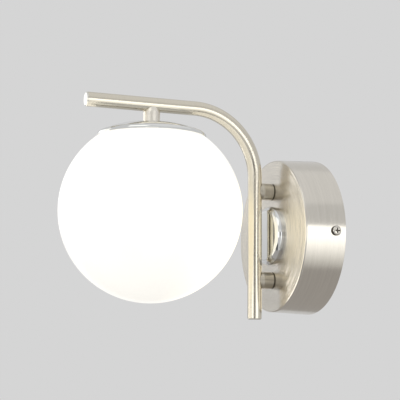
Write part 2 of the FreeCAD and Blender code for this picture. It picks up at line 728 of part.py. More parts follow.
def dome(radius, sphere_r, seat_r, seat_z, edge):
    """Solid under a shallow dome with a flat seat on top, a rounded edge and a straight lip."""
    lip_z = CAP_LIP_OUTER_Z
    shoulder = cap_sphere_height(radius, sphere_r)
    middle_r = (radius + seat_r) / 2
    shape = Outline(0, lip_z).line(radius, lip_z).line(radius, shoulder)
    shape.arc((middle_r, cap_sphere_height(middle_r, sphere_r)), (seat_r, seat_z))
    lip_per_edge = math.tan(math.acos(radius / sphere_r) / 2)
    edge = min(edge, CAP_LIP_SHARE * (shoulder - lip_z) / lip_per_edge)
    return rounded(shape.line(0, seat_z).turned(), edge, radius, shoulder)


def globe_cap():
    """Pressed domed cap whose lip follows the globe."""
    seat_r = CAP_SEAT_DIA / 2
    outer = dome(CAP_R, CAP_SPHERE_R, seat_r, CAP_SEAT_Z, CAP_EDGE_RADIUS)
    inner_sphere = CAP_SPHERE_R - CAP_SHEET
    under_r = math.sqrt(inner_sphere ** 2 - (CAP_UNDER_Z - CAP_CENTRE_Z) ** 2)
    inner = dome(CAP_INNER_R, inner_sphere, under_r, CAP_UNDER_Z, CAP_EDGE_RADIUS - CAP_SHEET)
    lip = Outline(CAP_INNER_R, CAP_LIP_OUTER_Z).line(CAP_R, CAP_LIP_OUTER_Z)
    lip.line(CAP_INNER_R, CAP_LIP_INNER_Z)
    hole = rod(NIPPLE_DIA / 2 + HOLE_GAP, CAP_UNDER_Z, CAP_SEAT_Z)
    return on_globe_axis(outer.cut([inner, lip.turned(), hole]))


def cap_washer():
    """Washer between the cap and its nut."""
    low = CAP_UNDER_Z - WASHER_THICKNESS
    return on_globe_axis(tube(WASHER_DIA / 2, NIPPLE_DIA / 2 + HOLE_GAP, low, CAP_UNDER_Z))


def cap_nut():
    """Nut that holds the cap to the neck."""
    return on_globe_axis(nut(NUT_FLATS, NIPPLE_DIA, GALLERY_TOP_Z, NUT_THICKNESS))


def globe_gallery():
    """Drawn dish whose threaded wall carries the globe."""
    low = GALLERY_TOP_Z - GALLERY_DEPTH
    shell = rod(GALLERY_R, low, GALLERY_TOP_Z)
    shell = rounded(shell, GALLERY_SHEET, GALLERY_R, GALLERY_TOP_Z)
    inner = rod(GALLERY_R - GALLERY_SHEET, low, GALLERY_TOP_Z - GALLERY_SHEET)
    hole = rod(NIPPLE_DIA / 2 + HOLE_GAP, GALLERY_TOP_Z - GALLERY_SHEET, GALLERY_TOP_Z)
    return on_globe_axis(shell.cut([inner, hole]))


# Lampholder

def lampholder_cap():
    """Upper half of the lampholder, with its threaded boss."""
    radius = HOLDER_DIA / 2
    inner_r = radius - HOLDER_WALL
    shoulder_z = HOLDER_TOP_Z - HOLDER_SHOULDER
    top_r = radius - HOLDER_SHOULDER
    bulge = HOLDER_SHOULDER * math.sin(math.radians(45))
    outer = Outline(0, HOLDER_JOINT_Z).line(radius, HOLDER_JOINT_Z).line(radius, shoulder_z)
    outer.arc((top_r + bulge, shoulder_z + bulge), (top_r, HOLDER_TOP_Z)).line(0, HOLDER_TOP_Z)
    ceiling = shoulder_z + HOLDER_SHOULDER - HOLDER_WALL
    inner = rod(inner_r, HOLDER_JOINT_Z, ceiling)
    inner = rounded(inner, HOLDER_SHOULDER - HOLDER_WALL, inner_r, ceiling)
    boss = rod(HOLDER_BOSS_DIA / 2, HOLDER_TOP_Z - HOLDER_BOSS_DEPTH, HOLDER_TOP_Z)
    thread = rod(NIPPLE_DIA / 2 + THREAD_GAP, HOLDER_TOP_Z - HOLDER_BOSS_DEPTH, HOLDER_TOP_Z)
    return on_globe_axis(outer.turned().cut(inner).fuse(boss).removeSplitter().cut(thread))


def lampholder_skirt():
    """Lower half of the lampholder, with grip ribs and a spigot that enters the cap."""
    radius = HOLDER_DIA / 2
    spigot_r = radius - HOLDER_WALL - SLIP_GAP
    body = rod(radius, HOLDER_FOOT_Z, HOLDER_JOINT_Z).fuse(
        rod(spigot_r, HOLDER_JOINT_Z, HOLDER_JOINT_Z + HOLDER_SPIGOT))
    grooves = []
    for n in range(HOLDER_RIB_COUNT):
        low = HOLDER_FOOT_Z + HOLDER_RIB_PITCH * (n + 0.5)
        high = low + HOLDER_RIB_PITCH / 2
        grooves.append(tube(radius, radius - HOLDER_RIB_HEIGHT, low, high))
    chamber = rod(spigot_r - HOLDER_WALL, INSULATOR_Z, HOLDER_JOINT_Z + HOLDER_SPIGOT)
    mouth = rod(HOLDER_MOUTH_DIA / 2, HOLDER_FOOT_Z, INSULATOR_Z)
    return on_globe_axis(body.removeSplitter().cut(grooves + [chamber, mouth]))


def lampholder_insulator():
    """Ceramic disc that carries the contacts and the threaded shell."""
    radius = HOLDER_DIA / 2 - 2 * HOLDER_WALL - 2 * SLIP_GAP
    disc = rod(radius, INSULATOR_Z, INSULATOR_Z + INSULATOR_THICKNESS)
    lugs = []
    for side in (-1, 1):
        corner = V(side * radius / 2 - TERMINAL_LUG, -TERMINAL_LUG, INSULATOR_Z + INSULATOR_THICKNESS)
        lugs.append(block(corner, corner + V(2 * TERMINAL_LUG, 2 * TERMINAL_LUG, TERMINAL_LUG)))
    return on_globe_axis(disc.fuse(lugs).removeSplitter())


def lampholder_shell():
    """Threaded shell of the socket, under the insulator."""
    outer_r = INSERT_BORE_R + INSERT_SHEET
    low = INSULATOR_Z - INSERT_LENGTH
    ring = tube(outer_r, INSERT_BORE_R, low, INSULATOR_Z)
    flange = tube(HOLDER_MOUTH_DIA / 2 - SLIP_GAP, INSERT_BORE_R, INSULATOR_Z - INSERT_SHEET, INSULATOR_Z)
    return on_globe_axis(ring.fuse(flange).removeSplitter())


def lampholder_contact():
    """Centre contact, a sprung tongue on a round foot."""
    foot = rod(CONTACT_DIA / 2, CONTACT_Z, INSULATOR_Z - CONTACT_TONGUE)
    reach = INSERT_BORE_R - SLIP_GAP - INSERT_SHEET
    half = CONTACT_DIA / 4
    tongue = block(V(0, -half, INSULATOR_Z - CONTACT_TONGUE), V(reach, half, INSULATOR_Z))
    stem = rod(half, CONTACT_Z, INSULATOR_Z)
    return on_globe_axis(foot.fuse([tongue, stem]).removeSplitter())


# Globe

def globe_glass():
    """Blown globe, cut flat at its mouth."""
    inner_top = V(MOUTH_R, 0, MOUTH_TOP)
    outer_top_r = math.sqrt(GLOBE_R ** 2 - (MOUTH_TOP - GLOBE_HEIGHT) ** 2)
    outline = Outline(0, GLOBE_HEIGHT - GLOBE_R)
    outline.arc((GLOBE_R, GLOBE_HEIGHT), (outer_top_r, MOUTH_TOP)).line(inner_top.x, MOUTH_TOP)
    outline.arc((GLOBE_INNER_R, GLOBE_HEIGHT), (0, GLOBE_HEIGHT - GLOBE_INNER_R))
    glass = outline.turned()
    return on_globe_axis(rounded(glass, GLOBE_EDGE_RADIUS, outer_top_r, MOUTH_TOP))


def globe_ring():
    """Threaded ring bonded into the globe's mouth."""
    top = MOUTH_TOP + RING_FLANGE_THICKNESS
    ring = tube(RING_R, RING_BORE_R, MOUTH_TOP - RING_DEPTH, top)
    flange = tube(FLANGE_R, RING_BORE_R, MOUTH_TOP, top)
    return on_globe_axis(ring.fuse(flange).removeSplitter())


def globe_gasket():
    """Soft ring on the globe's flange that keeps it from rattling under the cap."""
    low = MOUTH_TOP + RING_FLANGE_THICKNESS
    outer_r = FLANGE_R - GASKET_INSET
    inner_r = RING_BORE_R + GASKET_INSET
    return on_globe_axis(tube(outer_r, inner_r, low, low + GASKET_THICKNESS))


# Lamp

def lamp_tip():
    """Centre contact and glass insulator of the lamp's cap."""
    neck_r = LAMP_THREAD_DIA / 2 - INSERT_SHEET
    tip_z = LAMP_TOP_Z - LAMP_TIP_HEIGHT
    shape = Outline(0, LAMP_SHELL_TOP_Z).line(neck_r, LAMP_SHELL_TOP_Z).line(LAMP_TIP_DIA / 2, tip_z)
    shape.line(LAMP_TIP_FACE_DIA / 2, LAMP_TOP_Z).line(0, LAMP_TOP_Z)
    return on_globe_axis(shape.turned())


def lamp_shell():
    """Threaded shell of the lamp's cap."""
    return on_globe_axis(rod(LAMP_THREAD_DIA / 2, LAMP_SHELL_FOOT_Z, LAMP_SHELL_TOP_Z))


def lamp_body():
    """Moulded collar that swells from the shell to the ball."""
    collar_r = LAMP_COLLAR_DIA / 2
    joint_r = LAMP_JOINT_DIA / 2
    collar_z = LAMP_SHELL_FOOT_Z - LAMP_COLLAR_LENGTH
    middle = ((collar_r + joint_r) / 2 + LAMP_SWELL / 2, (collar_z + LAMP_JOINT_Z) / 2 - LAMP_SWELL)
    shape = Outline(0, LAMP_JOINT_Z).line(joint_r, LAMP_JOINT_Z)
    shape.arc(middle, (collar_r, collar_z)).line(collar_r, LAMP_SHELL_FOOT_Z).line(0, LAMP_SHELL_FOOT_Z)
    return on_globe_axis(shape.turned())


def lamp_ball():
    """Opal ball of the lamp, closed by its moulded collar."""
    radius = LAMP_BALL_DIA / 2
    inner = radius - LAMP_BALL_WALL
    joint_r = LAMP_JOINT_DIA / 2
    inner_r = math.sqrt(inner ** 2 - (LAMP_JOINT_Z - LAMP_BALL_Z) ** 2)
    shape = Outline(0, LAMP_BALL_Z - radius)
    shape.arc((radius, LAMP_BALL_Z), (joint_r, LAMP_JOINT_Z)).line(inner_r, LAMP_JOINT_Z)
    shape.arc((inner, LAMP_BALL_Z), (0, LAMP_BALL_Z - inner))
    return on_globe_axis(shape.turned())


# Lead

def corner_arc(start, corner, end, radius):
    """Arc of a square turn: its two ends and its middle."""
    into = (start - corner).normalize() * radius
    out = (end - corner).normalize() * radius
    centre = corner + into + out
    middle = centre - (into + out).normalize() * radius
    return corner + into, middle, corner + out


def lead_path():
    """Route of the lead: block, upper post, tube, bend, bar, neck, lampholder."""
    post_z = POST_SPACING / 2
    block_y = -(STRAP_SHEET + SLEEVE_FROM_BASE + SLEEVE_DIA / 2)
    start = V(0, block_y, BLOCK_CENTRE + BLOCK_HEIGHT / 2)
    lift = V(0, block_y, post_z)
    entry = V(0, -TUBE_FROM_WALL, post_z)
    bend = V(0, -TUBE_FROM_WALL, BAR_HEIGHT)
    turn = V(0, -GLOBE_FROM_WALL, BAR_HEIGHT)
    end = V(0, -GLOBE_FROM_WALL, HOLDER_TOP_Z - HOLDER_BOSS_DEPTH - LEAD_TAIL)
    stops = [start, lift, entry, bend, turn, end]
    radii = [LEAD_BLOCK_TURN, LEAD_CORNER, BEND_RADIUS, LEAD_CORNER]
    edges = []
    here = start
    for n, radius in enumerate(radii):
        arc_in, arc_middle, arc_out = corner_arc(stops[n], stops[n + 1], stops[n + 2], radius)
        edges.append(Part.LineSegment(here, arc_in).toShape())
        edges.append(Part.Arc(arc_in, arc_middle, arc_out).toShape())
        here = arc_out
    edges.append(Part.LineSegment(here, end).toShape())
    return Part.Wire(edges), start


def lamp_lead():
    """Sleeved lead between the terminal block and the lampholder."""
    path, start = lead_path()
    return swept(LEAD_DIA / 2, path, start, V(0, 0, 1))


PIECES = {
    "wall_bracket": wall_bracket,
    "earth_screw": earth_screw,
    "earth_washer": earth_washer,
    "terminal_block": terminal_block,
    "terminal_sleeves": terminal_sleeves,
    "terminal_screws": terminal_screws,
    "block_screws": block_screws,
    "canopy": canopy,
    "side_screws": side_screws,
    "centre_cover": centre_cover,
    "cover_washer": cover_washer,
    "cover_nut": cover_nut,
    "upper_post": lambda: arm_post(1),
    "lower_post": lambda: arm_post(-1),
    "post_nipples": post_nipples,
    "post_washers": post_washers,
    "post_nuts": post_nuts,
    "arm_tube": arm_tube,
    "tip_cap": tip_cap,
    "foot_cap": foot_cap,
    "neck": neck,
    "neck_nipple": neck_nipple,
    "globe_cap": globe_cap,
    "cap_washer": cap_washer,
    "cap_nut": cap_nut,
    "globe_gallery": globe_gallery,
    "lampholder_cap": lampholder_cap,
    "lampholder_skirt": lampholder_skirt,
    "lampholder_insulator": lampholder_insulator,
    "lampholder_shell": lampholder_shell,
    "lampholder_contact": lampholder_contact,
    "lamp_lead": lamp_lead,
    "globe_glass": globe_glass,
    "globe_ring": globe_ring,
    "globe_gasket": globe_gasket,
    "lamp_tip": lamp_tip,
    "lamp_shell": lamp_shell,
    "lamp_body": lamp_body,
    "lamp_ball": lamp_ball,
}

for name, make in PIECES.items():
    shape = make()
    assert shape.isValid(), name
    shape.exportStep("parts/" + name + ".step")
    print(name, "solids", len(shape.Solids), "volume", round(shape.Volume, 1))
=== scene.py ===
"""Globe wall sconce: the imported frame, dressed with turned, swept and threaded surfaces.

The frame's axes are kept: the wall is the plane Y = 0, the lamp stands out toward -Y and
+Z is up. The lamp's sizes are written in millimetres and become metres when a mesh is made;
the sizes of the finishes' patterns and of the studio are in metres.
"""

import logging
import math
from dataclasses import dataclass
from enum import Enum
from functools import lru_cache
from typing import Any, Optional, Sequence, Union

import bmesh
import bpy
import numpy as np
from mathutils import Matrix, Vector


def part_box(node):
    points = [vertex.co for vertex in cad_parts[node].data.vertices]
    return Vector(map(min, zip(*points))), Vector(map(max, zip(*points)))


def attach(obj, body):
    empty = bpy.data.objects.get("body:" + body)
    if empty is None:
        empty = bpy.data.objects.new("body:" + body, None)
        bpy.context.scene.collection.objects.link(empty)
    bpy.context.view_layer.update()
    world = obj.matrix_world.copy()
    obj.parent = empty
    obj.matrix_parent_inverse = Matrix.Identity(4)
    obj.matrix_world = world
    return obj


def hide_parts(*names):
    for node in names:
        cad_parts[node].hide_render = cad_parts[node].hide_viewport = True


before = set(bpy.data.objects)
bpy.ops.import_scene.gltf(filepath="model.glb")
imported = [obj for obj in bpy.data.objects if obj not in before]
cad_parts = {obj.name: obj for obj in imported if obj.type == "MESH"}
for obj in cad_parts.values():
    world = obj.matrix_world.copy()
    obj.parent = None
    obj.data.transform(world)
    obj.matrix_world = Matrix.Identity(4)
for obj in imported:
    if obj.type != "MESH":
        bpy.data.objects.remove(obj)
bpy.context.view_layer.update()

LOG = logging.getLogger("sconce")
MM = 0.001              # metres in a millimetre
TINY = 1e-9             # stands in for a length of zero in a division
COLUMNS = 128           # points round a turned piece
CRISP = 35.0            # degrees; an edge that turns more stays sharp
WELD = 2e-6             # metres; points of a seam or pole closer than this are joined
SLIVER = 1e-7           # metres; shorter edges are dissolved
ON_WALL = 0.01          # millimetres; a row this close to a wall's radius or height is on it
MEAN = 0.5              # a noise's mean value
MIX_FIRST, MIX_SECOND, MIX_RESULT = 6, 7, 2    # the sockets that a Mix node uses for colour
Number = Union[float, "Term"]
Colour = tuple[float, float, float]


# Shader graphs


class Term:
    """One socket of a material's graph; Python's operators on it add Math nodes."""

    def __init__(self, graph: "Graph", socket: bpy.types.NodeSocket) -> None:
        """Keep the socket and the graph that it belongs to."""
        self.graph = graph
        self.socket = socket

    def math(self, operation: str, *others: Number) -> "Term":
        """Apply a Math node's operation to this term and the others."""
        return self.graph.math(operation, self, *others)

    def __add__(self, other: Number) -> "Term":
        """Return the sum."""
        return self.math("ADD", other)

    def __sub__(self, other: Number) -> "Term":
        """Return the difference."""
        return self.math("SUBTRACT", other)

    def __rsub__(self, other: Number) -> "Term":
        """Return the difference, with the term on the right."""
        return self.graph.math("SUBTRACT", other, self)

    def __mul__(self, other: Number) -> "Term":
        """Return the product."""
        return self.math("MULTIPLY", other)

    __radd__ = __add__
    __rmul__ = __mul__

    def ramp(self, low: float, high: float) -> "Term":
        """Return a smooth step.

        Args:
            low: The value at which the step starts, at 0.
            high: The value at which it ends, at 1.

        Returns:
            The step.
        """
        settings = {"interpolation_type": "SMOOTHSTEP"}
        node = self.graph.node("ShaderNodeMapRange", settings, {0: self, 1: low, 2: high})
        return Term(self.graph, node.outputs[0])


class Graph:
    """A material's node tree, built through one method."""

    def __init__(self, name: str) -> None:
        """Start an empty material.

        Args:
            name: The material's name.
        """
        self.material = bpy.data.materials.new(name)
        self.material.use_nodes = True
        self.tree = self.material.node_tree
        self.tree.nodes.clear()

    def node(self, kind: str, settings: Optional[dict[str, Any]] = None,
             inputs: Optional[dict[Union[int, str], Any]] = None) -> bpy.types.Node:
        """Add a node, set it, then give its inputs values or links.

        Args:
            kind: The node's type.
            settings: The node's own properties, set before its inputs.
            inputs: Sockets by name or number, each with a value, a Term or a socket.

        Returns:
            The new node.
        """
        made = self.tree.nodes.new(kind)
        for key, value in (settings or {}).items():
            setattr(made, key, value)
        for key, value in (inputs or {}).items():
            if isinstance(value, Term):
                value = value.socket
            if isinstance(value, bpy.types.NodeSocket):
                self.tree.links.new(value, made.inputs[key])
            else:
                made.inputs[key].default_value = value
        return made

    def math(self, operation: str, *terms: Number) -> Term:
        """Return a Math node's result for one, two or three terms."""
        made = self.node("ShaderNodeMath", {"operation": operation}, dict(enumerate(terms)))
        return Term(self, made.outputs[0])

    def vector(self, operation: str, first: Any, second: Any) -> bpy.types.NodeSocket:
        """Return a Vector Math node's vector for two vectors."""
        made = self.node("ShaderNodeVectorMath", {"operation": operation}, {0: first, 1: second})
        return made.outputs[0]

    def scaled(self, vector: Any, factor: Number) -> bpy.types.NodeSocket:
        """Return a vector times a number."""
        made = self.node("ShaderNodeVectorMath", {"operation": "SCALE"}, {0: vector, "Scale": factor})
        return made.outputs[0]

    def place(self) -> bpy.types.NodeSocket:
        """Return the object coordinates, in metres."""
        return self.node("ShaderNodeTexCoord").outputs["Object"]

    def noise(self, vector: Any, scale: float, detail: float = 2.0, w: Optional[Number] = None) -> Term:
        """Return a noise value between 0 and 1.

        Args:
            vector: Where the noise is read.
            scale: Features to a metre.
            detail: Octaves.
            w: A fourth coordinate, for noise that changes fast along it.

        Returns:
            The noise.
        """
        inputs = {"Vector": vector, "Scale": scale, "Detail": detail}
        settings = {"noise_dimensions": "3D" if w is None else "4D"}
        if w is not None:
            inputs["W"] = w
        return Term(self, self.node("ShaderNodeTexNoise", settings, inputs).outputs[0])

    def tinted(self, factor: Number, *colours: Union[Colour, bpy.types.NodeSocket]) -> bpy.types.NodeSocket:
        """Mix two colours.

        Args:
            factor: 0 for the first colour, 1 for the second.
            colours: Two colours or sockets.

        Returns:
            The mixed colour.
        """
        low, high = (part if isinstance(part, bpy.types.NodeSocket) else (*part, 1.0) for part in colours)
        inputs = {0: factor, MIX_FIRST: low, MIX_SECOND: high}
        return self.node("ShaderNodeMix", {"data_type": "RGBA"}, inputs).outputs[MIX_RESULT]

    def parts(self, vector: bpy.types.NodeSocket) -> tuple[Term, Term, Term]:
        """Return a vector's X, Y and Z."""
        made = self.node("ShaderNodeSeparateXYZ", None, {0: vector})
        return Term(self, made.outputs[0]), Term(self, made.outputs[1]), Term(self, made.outputs[2])

    def bump(self, height: Term, distance: float) -> bpy.types.NodeSocket:
        """Return a normal raised by a height of at most the distance in metres."""
        return self.node("ShaderNodeBump", None, {"Height": height, "Distance": distance}).outputs[0]

    def surface(self, shader: bpy.types.NodeSocket) -> bpy.types.Material:
        """Close the graph with a surface shader and return the material."""
        self.node("ShaderNodeOutputMaterial", None, {"Surface": shader})
        return self.material

    def principled(self, inputs: dict[str, Any]) -> bpy.types.Material:
        """Close the graph with a Principled shader and return the material."""
        return self.surface(self.node("ShaderNodeBsdfPrincipled", None, inputs).outputs[0])


# Finishes


@dataclass(frozen=True)
class Finish:
    """A surface finish; each kind says how its graph is made."""

    name: str
    slot: str

    def dress(self, graph: Graph) -> bpy.types.Material:
        """Make the finish's material in an empty graph."""
        raise NotImplementedError


@lru_cache(maxsize=None)
def material_of(finish: Finish) -> bpy.types.Material:
    """Make a finish's material the first time that it is asked for."""
    return finish.dress(Graph(finish.name))


@dataclass(frozen=True)
class BrushedMetal(Finish):
    """Metal satined with fine lines that run round each piece.

    The mesh gives, at each point, the distance across the lines (lines) and the direction
    across them (across), which is short on tight edges, where the buff has worn the lines
    away. The normal leans along that direction by noise of the distance. Lines are counted
    to a metre and a run says how fast the noise changes along them. A painted shadow, a
    near-black band, darkens the tint at the distance where the piece meets the next one.
    """

    tint: Colour
    dark: Colour
    roughness: float
    fine_tilt: float
    coarse_tilt: float
    fine_lines: float = 9000.0
    coarse_lines: float = 1300.0
    # painted shadow: where the dark contact line lies, as a distance across the lines; below 0 there is none
    contact_shadow: float = -1.0
    contact_shadow_width: float = 0.0009
    fine_run: float = 45.0
    coarse_run: float = 30.0
    handling: float = 22.0
    line_gloss: float = 0.08
    handled_gloss: float = 0.05
    fine_share: float = 0.4
    tint_range: tuple[float, float] = (0.25, 0.75)
    contact_shadow_core: float = 0.3
    contact_shadow_tone: float = 0.25

    def dress(self, graph: Graph) -> bpy.types.Material:
        """Lean the normal across the lines, vary gloss and tint with them, and paint a contact shadow where
        the piece meets the next one.

        Args:
            graph: The empty graph.

        Returns:
            The material.
        """
        place = graph.place()
        lines = Term(graph, graph.node("ShaderNodeAttribute", {"attribute_name": "lines"}).outputs["Fac"])
        across = graph.node("ShaderNodeAttribute", {"attribute_name": "across"}).outputs["Vector"]
        fine_turns, coarse_turns = self.fine_lines / self.fine_run, self.coarse_lines / self.coarse_run
        fine = graph.noise(place, self.fine_run, detail=1.0, w=lines * fine_turns)
        coarse = graph.noise(place, self.coarse_run, detail=2.0, w=lines * coarse_turns)
        tilt = (fine - MEAN) * self.fine_tilt + (coarse - MEAN) * self.coarse_tilt
        normal = graph.node("ShaderNodeNewGeometry").outputs["Normal"]
        leaned = graph.vector("ADD", normal, graph.scaled(across, tilt))
        leaned = graph.node("ShaderNodeVectorMath", {"operation": "NORMALIZE"}, {0: leaned}).outputs[0]
        handled = graph.noise(place, self.handling, detail=3.0)
        gloss = self.roughness + (coarse - MEAN) * self.line_gloss + (handled - MEAN) * self.handled_gloss
        both = coarse * (1 - self.fine_share) + fine * self.fine_share
        tint = graph.tinted(both.ramp(*self.tint_range), self.dark, self.tint)
        # painted shadow: a near-black band darkens the tint where the piece meets the next one
        if self.contact_shadow > 0:
            core = self.contact_shadow_width * self.contact_shadow_core
            unshaded = (lines - self.contact_shadow).math("ABSOLUTE").ramp(core, self.contact_shadow_width)
            tint = graph.tinted(unshaded, shaded(self.dark, self.contact_shadow_tone), tint)
        return graph.principled({"Base Color": tint, "Metallic": 1.0, "Roughness": gloss, "Normal": leaned})


@dataclass(frozen=True)
class ScrewMetal(Finish):
    """Turned metal with painted shade, near black, in the cross recess and round the rim.

    The buff reaches, and makes glossier, the parts of both heads that are farther than crown
    from the plane X = 0, in metres; below the crown the colour is painted shade.
    """

    tint: Colour
    # painted shade: the near-black colour of the recess and the rim
    recess_shade: Colour
    roughness: float
    crown: float
    fade: float = 0.0005
    grain: float = 1500.0
    grain_gloss: float = 0.1
    buffed_gloss: float = 0.08
    relief: float = 0.00001

    def dress(self, graph: Graph) -> bpy.types.Material:
        """Paint shade, near black, on the metal below the crown of each head.

        Args:
            graph: The empty graph.

        Returns:
            The material.
        """
        place = graph.place()
        # painted shade below the crown: the recess and the rim are darkened
        unshaded = graph.parts(place)[0].math("ABSOLUTE").ramp(self.crown - self.fade, self.crown)
        grain = graph.noise(place, self.grain, detail=3.0)
        gloss = self.roughness + (grain - MEAN) * self.grain_gloss - unshaded * self.buffed_gloss
        return graph.principled({"Base Color": graph.tinted(unshaded, self.recess_shade, self.tint), "Metallic": 1.0,
                                 "Roughness": gloss, "Normal": graph.bump(grain, self.relief)})


@dataclass(frozen=True)
class MirrorMetal(Finish):
    """Plated metal polished to a mirror, with a faint waviness and the haze of the buff."""

    tint: Colour
    roughness: float
    relief: float
    wave: float = 55.0
    haze: float = 900.0
    spots: float = 60.0
    spot_range: tuple[float, float] = (0.5, 0.8)
    hazing: float = 0.03
    dulling: float = 0.94

    def dress(self, graph: Graph) -> bpy.types.Material:
        """Let a slow wave bend the mirror and a fine haze vary its gloss.

        Args:
            graph: The empty graph.

        Returns:
            The material.
        """
        place = graph.place()
        wave = graph.noise(place, self.wave, detail=1.0)
        haze = graph.noise(place, self.haze, detail=3.0)
        spots = graph.noise(place, self.spots, detail=4.0).ramp(*self.spot_range)
        colour = graph.tinted(spots, self.tint, shaded(self.tint, self.dulling))
        return graph.principled({"Base Color": colour, "Metallic": 1.0,
                                 "Roughness": self.roughness + haze * self.hazing + spots * self.hazing,
                                 "Normal": graph.bump(wave, self.relief)})


@dataclass(frozen=True)
class PlatedSteel(Finish):
    """Pressed or machined metal with a mottled passivated skin."""

    tint: Colour
    stain: Colour
    roughness: float
    patches: float = 130.0
    patch_range: tuple[float, float] = (0.35, 0.7)
    patch_gloss: float = 0.07
    grain: float = 2600.0
    grain_gloss: float = 0.18
    relief: float = 0.00003

    def dress(self, graph: Graph) -> bpy.types.Material:
        """Mix two tints in soft patches over a fine rolled grain.

        Args:
            graph: The empty graph.

        Returns:
            The material.
        """
        place = graph.place()
        patches = graph.noise(place, self.patches, detail=4.0).ramp(*self.patch_range)
        grain = graph.noise(place, self.grain, detail=3.0)
        gloss = self.roughness + (grain - MEAN) * self.grain_gloss + patches * self.patch_gloss
        return graph.principled({"Base Color": graph.tinted(patches, self.tint, self.stain), "Metallic": 1.0,
                                 "Roughness": gloss, "Normal": graph.bump(grain, self.relief)})


@dataclass(frozen=True)
class Moulded(Finish):
    """Moulded plastic, rubber or glazed ceramic: even colour, faint clouding, fine grain."""

    tint: Colour
    cloud: Colour
    roughness: float
    grain: float
    relief: float = 0.00002
    clouding: float = 90.0
    cloud_range: tuple[float, float] = (0.3, 0.75)
    grain_gloss: float = 0.16

    def dress(self, graph: Graph) -> bpy.types.Material:
        """Cloud the colour slowly and give the skin its moulded grain.

        Args:
            graph: The empty graph.

        Returns:
            The material.
        """
        place = graph.place()
        cloud = graph.noise(place, self.clouding, detail=3.0).ramp(*self.cloud_range)
        grain = graph.noise(place, self.grain, detail=2.0)
        return graph.principled({"Base Color": graph.tinted(cloud, self.tint, self.cloud),
                                 "Roughness": self.roughness + (grain - MEAN) * self.grain_gloss,
                                 "Normal": graph.bump(grain, self.relief)})


@dataclass(frozen=True)
class LitOpal(Finish):
    """Opal glass or plastic that the lamp inside lights: a soft glow that changes toward its ends.

    The glow is even over even_share of the reach above and below the middle, in millimetres,
    and turns to edge_glow at the reach. On the lower part that faces the wall it turns to a
    brighter, warmer painted bounce light, which stands in for the light that the nickel sends
    back; wallward and upward are the ranges of Y and Z over which it does, in metres.
    """

    tint: Colour
    glow: Colour
    edge_glow: Colour
    # painted bounce light: the glow of the lower part that faces the wall
    painted_bounce: Colour
    middle: float
    reach: float
    roughness: float
    clouding: float = 24.0
    cloud_range: tuple[float, float] = (0.2, 0.8)
    grain: float = 1400.0
    grain_gloss: float = 0.08
    even_share: float = 0.45
    dulling: float = 0.985
    wallward: tuple[float, float] = (-0.150, -0.085)
    upward: tuple[float, float] = (0.015, 0.05)

    def dress(self, graph: Graph) -> bpy.types.Material:
        """Grade the glow by height, paint the bounce light from the nickel on the wall side, and cloud it as
        blown opal is clouded.

        Args:
            graph: The empty graph.

        Returns:
            The material.
        """
        place = graph.place()
        _, depth, height = graph.parts(place)
        away = (height * (1.0 / MM) - self.middle).math("ABSOLUTE")
        # painted bounce light: how much of the lower, wall-facing part glows brighter
        bounce_share = depth.ramp(*self.wallward) * (1.0 - height.ramp(*self.upward))
        cloud = graph.noise(place, self.clouding, detail=3.0).ramp(*self.cloud_range)
        grain = graph.noise(place, self.grain, detail=2.0)
        glow = graph.tinted(away.ramp(self.reach * self.even_share, self.reach), self.glow, self.edge_glow)
        colour = graph.tinted(cloud, self.tint, shaded(self.tint, self.dulling))
        return graph.principled({"Base Color": colour,
                                 "Emission Color": graph.tinted(bounce_share, glow, self.painted_bounce),
                                 "Emission Strength": 1.0,
                                 "Roughness": self.roughness + (grain - MEAN) * self.grain_gloss})


@dataclass(frozen=True)
class WovenSleeve(Finish):
    """Glass-fibre sleeve: two sets of slanted threads crossing round the lead."""

    tint: Colour
    gap: Colour
    threads: float
    roughness: float = 0.75
    relief: float = 0.0002

    def dress(self, graph: Graph) -> bpy.types.Material:
        """Cross two slanted waves of the position to make a plain weave.

        Args:
            graph: The empty graph.

        Returns:
            The material.
        """
        x, y, z = graph.parts(graph.place())
        first = ((x + y + z) * self.threads).math("SINE")
        second = ((x - y - z) * self.threads).math("SINE")
        weave = (first * second) * 0.5 + 0.5
        return graph.principled({"Base Color": graph.tinted(weave, self.gap, self.tint),
                                 "Roughness": self.roughness, "Normal": graph.bump(weave, self.relief)})


def shaded(colour: Colour, factor: float) -> Colour:
    """Return a colour times a factor."""
    return tuple(factor * part for part in colour)


SATIN_NICKEL = BrushedMetal(
    "satin_nickel", "satin_nickel", (0.76, 0.724, 0.662), (0.675, 0.642, 0.584), roughness=0.16,
    fine_tilt=0.35, coarse_tilt=0.022, fine_lines=24000.0, coarse_lines=1900.0)
NICKEL_TUBE = BrushedMetal(
    "satin_nickel_tube", "satin_nickel", (0.73, 0.685, 0.585), (0.69, 0.645, 0.55), roughness=0.15,
    fine_tilt=0.4, coarse_tilt=0.04)
# A lighter copy of the satin nickel: painted light on the neck, with a painted contact shadow at its foot.
NICKEL_TURNED_LIT = BrushedMetal(
    "satin_nickel_turned_lit", "satin_nickel", (0.86, 0.82, 0.745), (0.83, 0.79, 0.715), roughness=0.3,
    fine_tilt=0.3, coarse_tilt=0.05, contact_shadow=0.0031)
# A darker copy of the satin nickel: painted shade on the posts, with a painted contact shadow at their feet.
NICKEL_POST_SHADED = BrushedMetal(
    "satin_nickel_post_shaded", "satin_nickel", (0.64, 0.59, 0.50), (0.50, 0.46, 0.38), roughness=0.3,
    fine_tilt=0.3, coarse_tilt=0.16, contact_shadow=0.0030, contact_shadow_width=0.0007)
CHROME = MirrorMetal(
    "polished_chrome", "polished_chrome", (0.80, 0.805, 0.80), roughness=0.03, relief=0.00012)
NICKEL_MIRROR = MirrorMetal(
    "polished_nickel", "polished_chrome", (0.80, 0.78, 0.72), roughness=0.1, relief=0.00006)
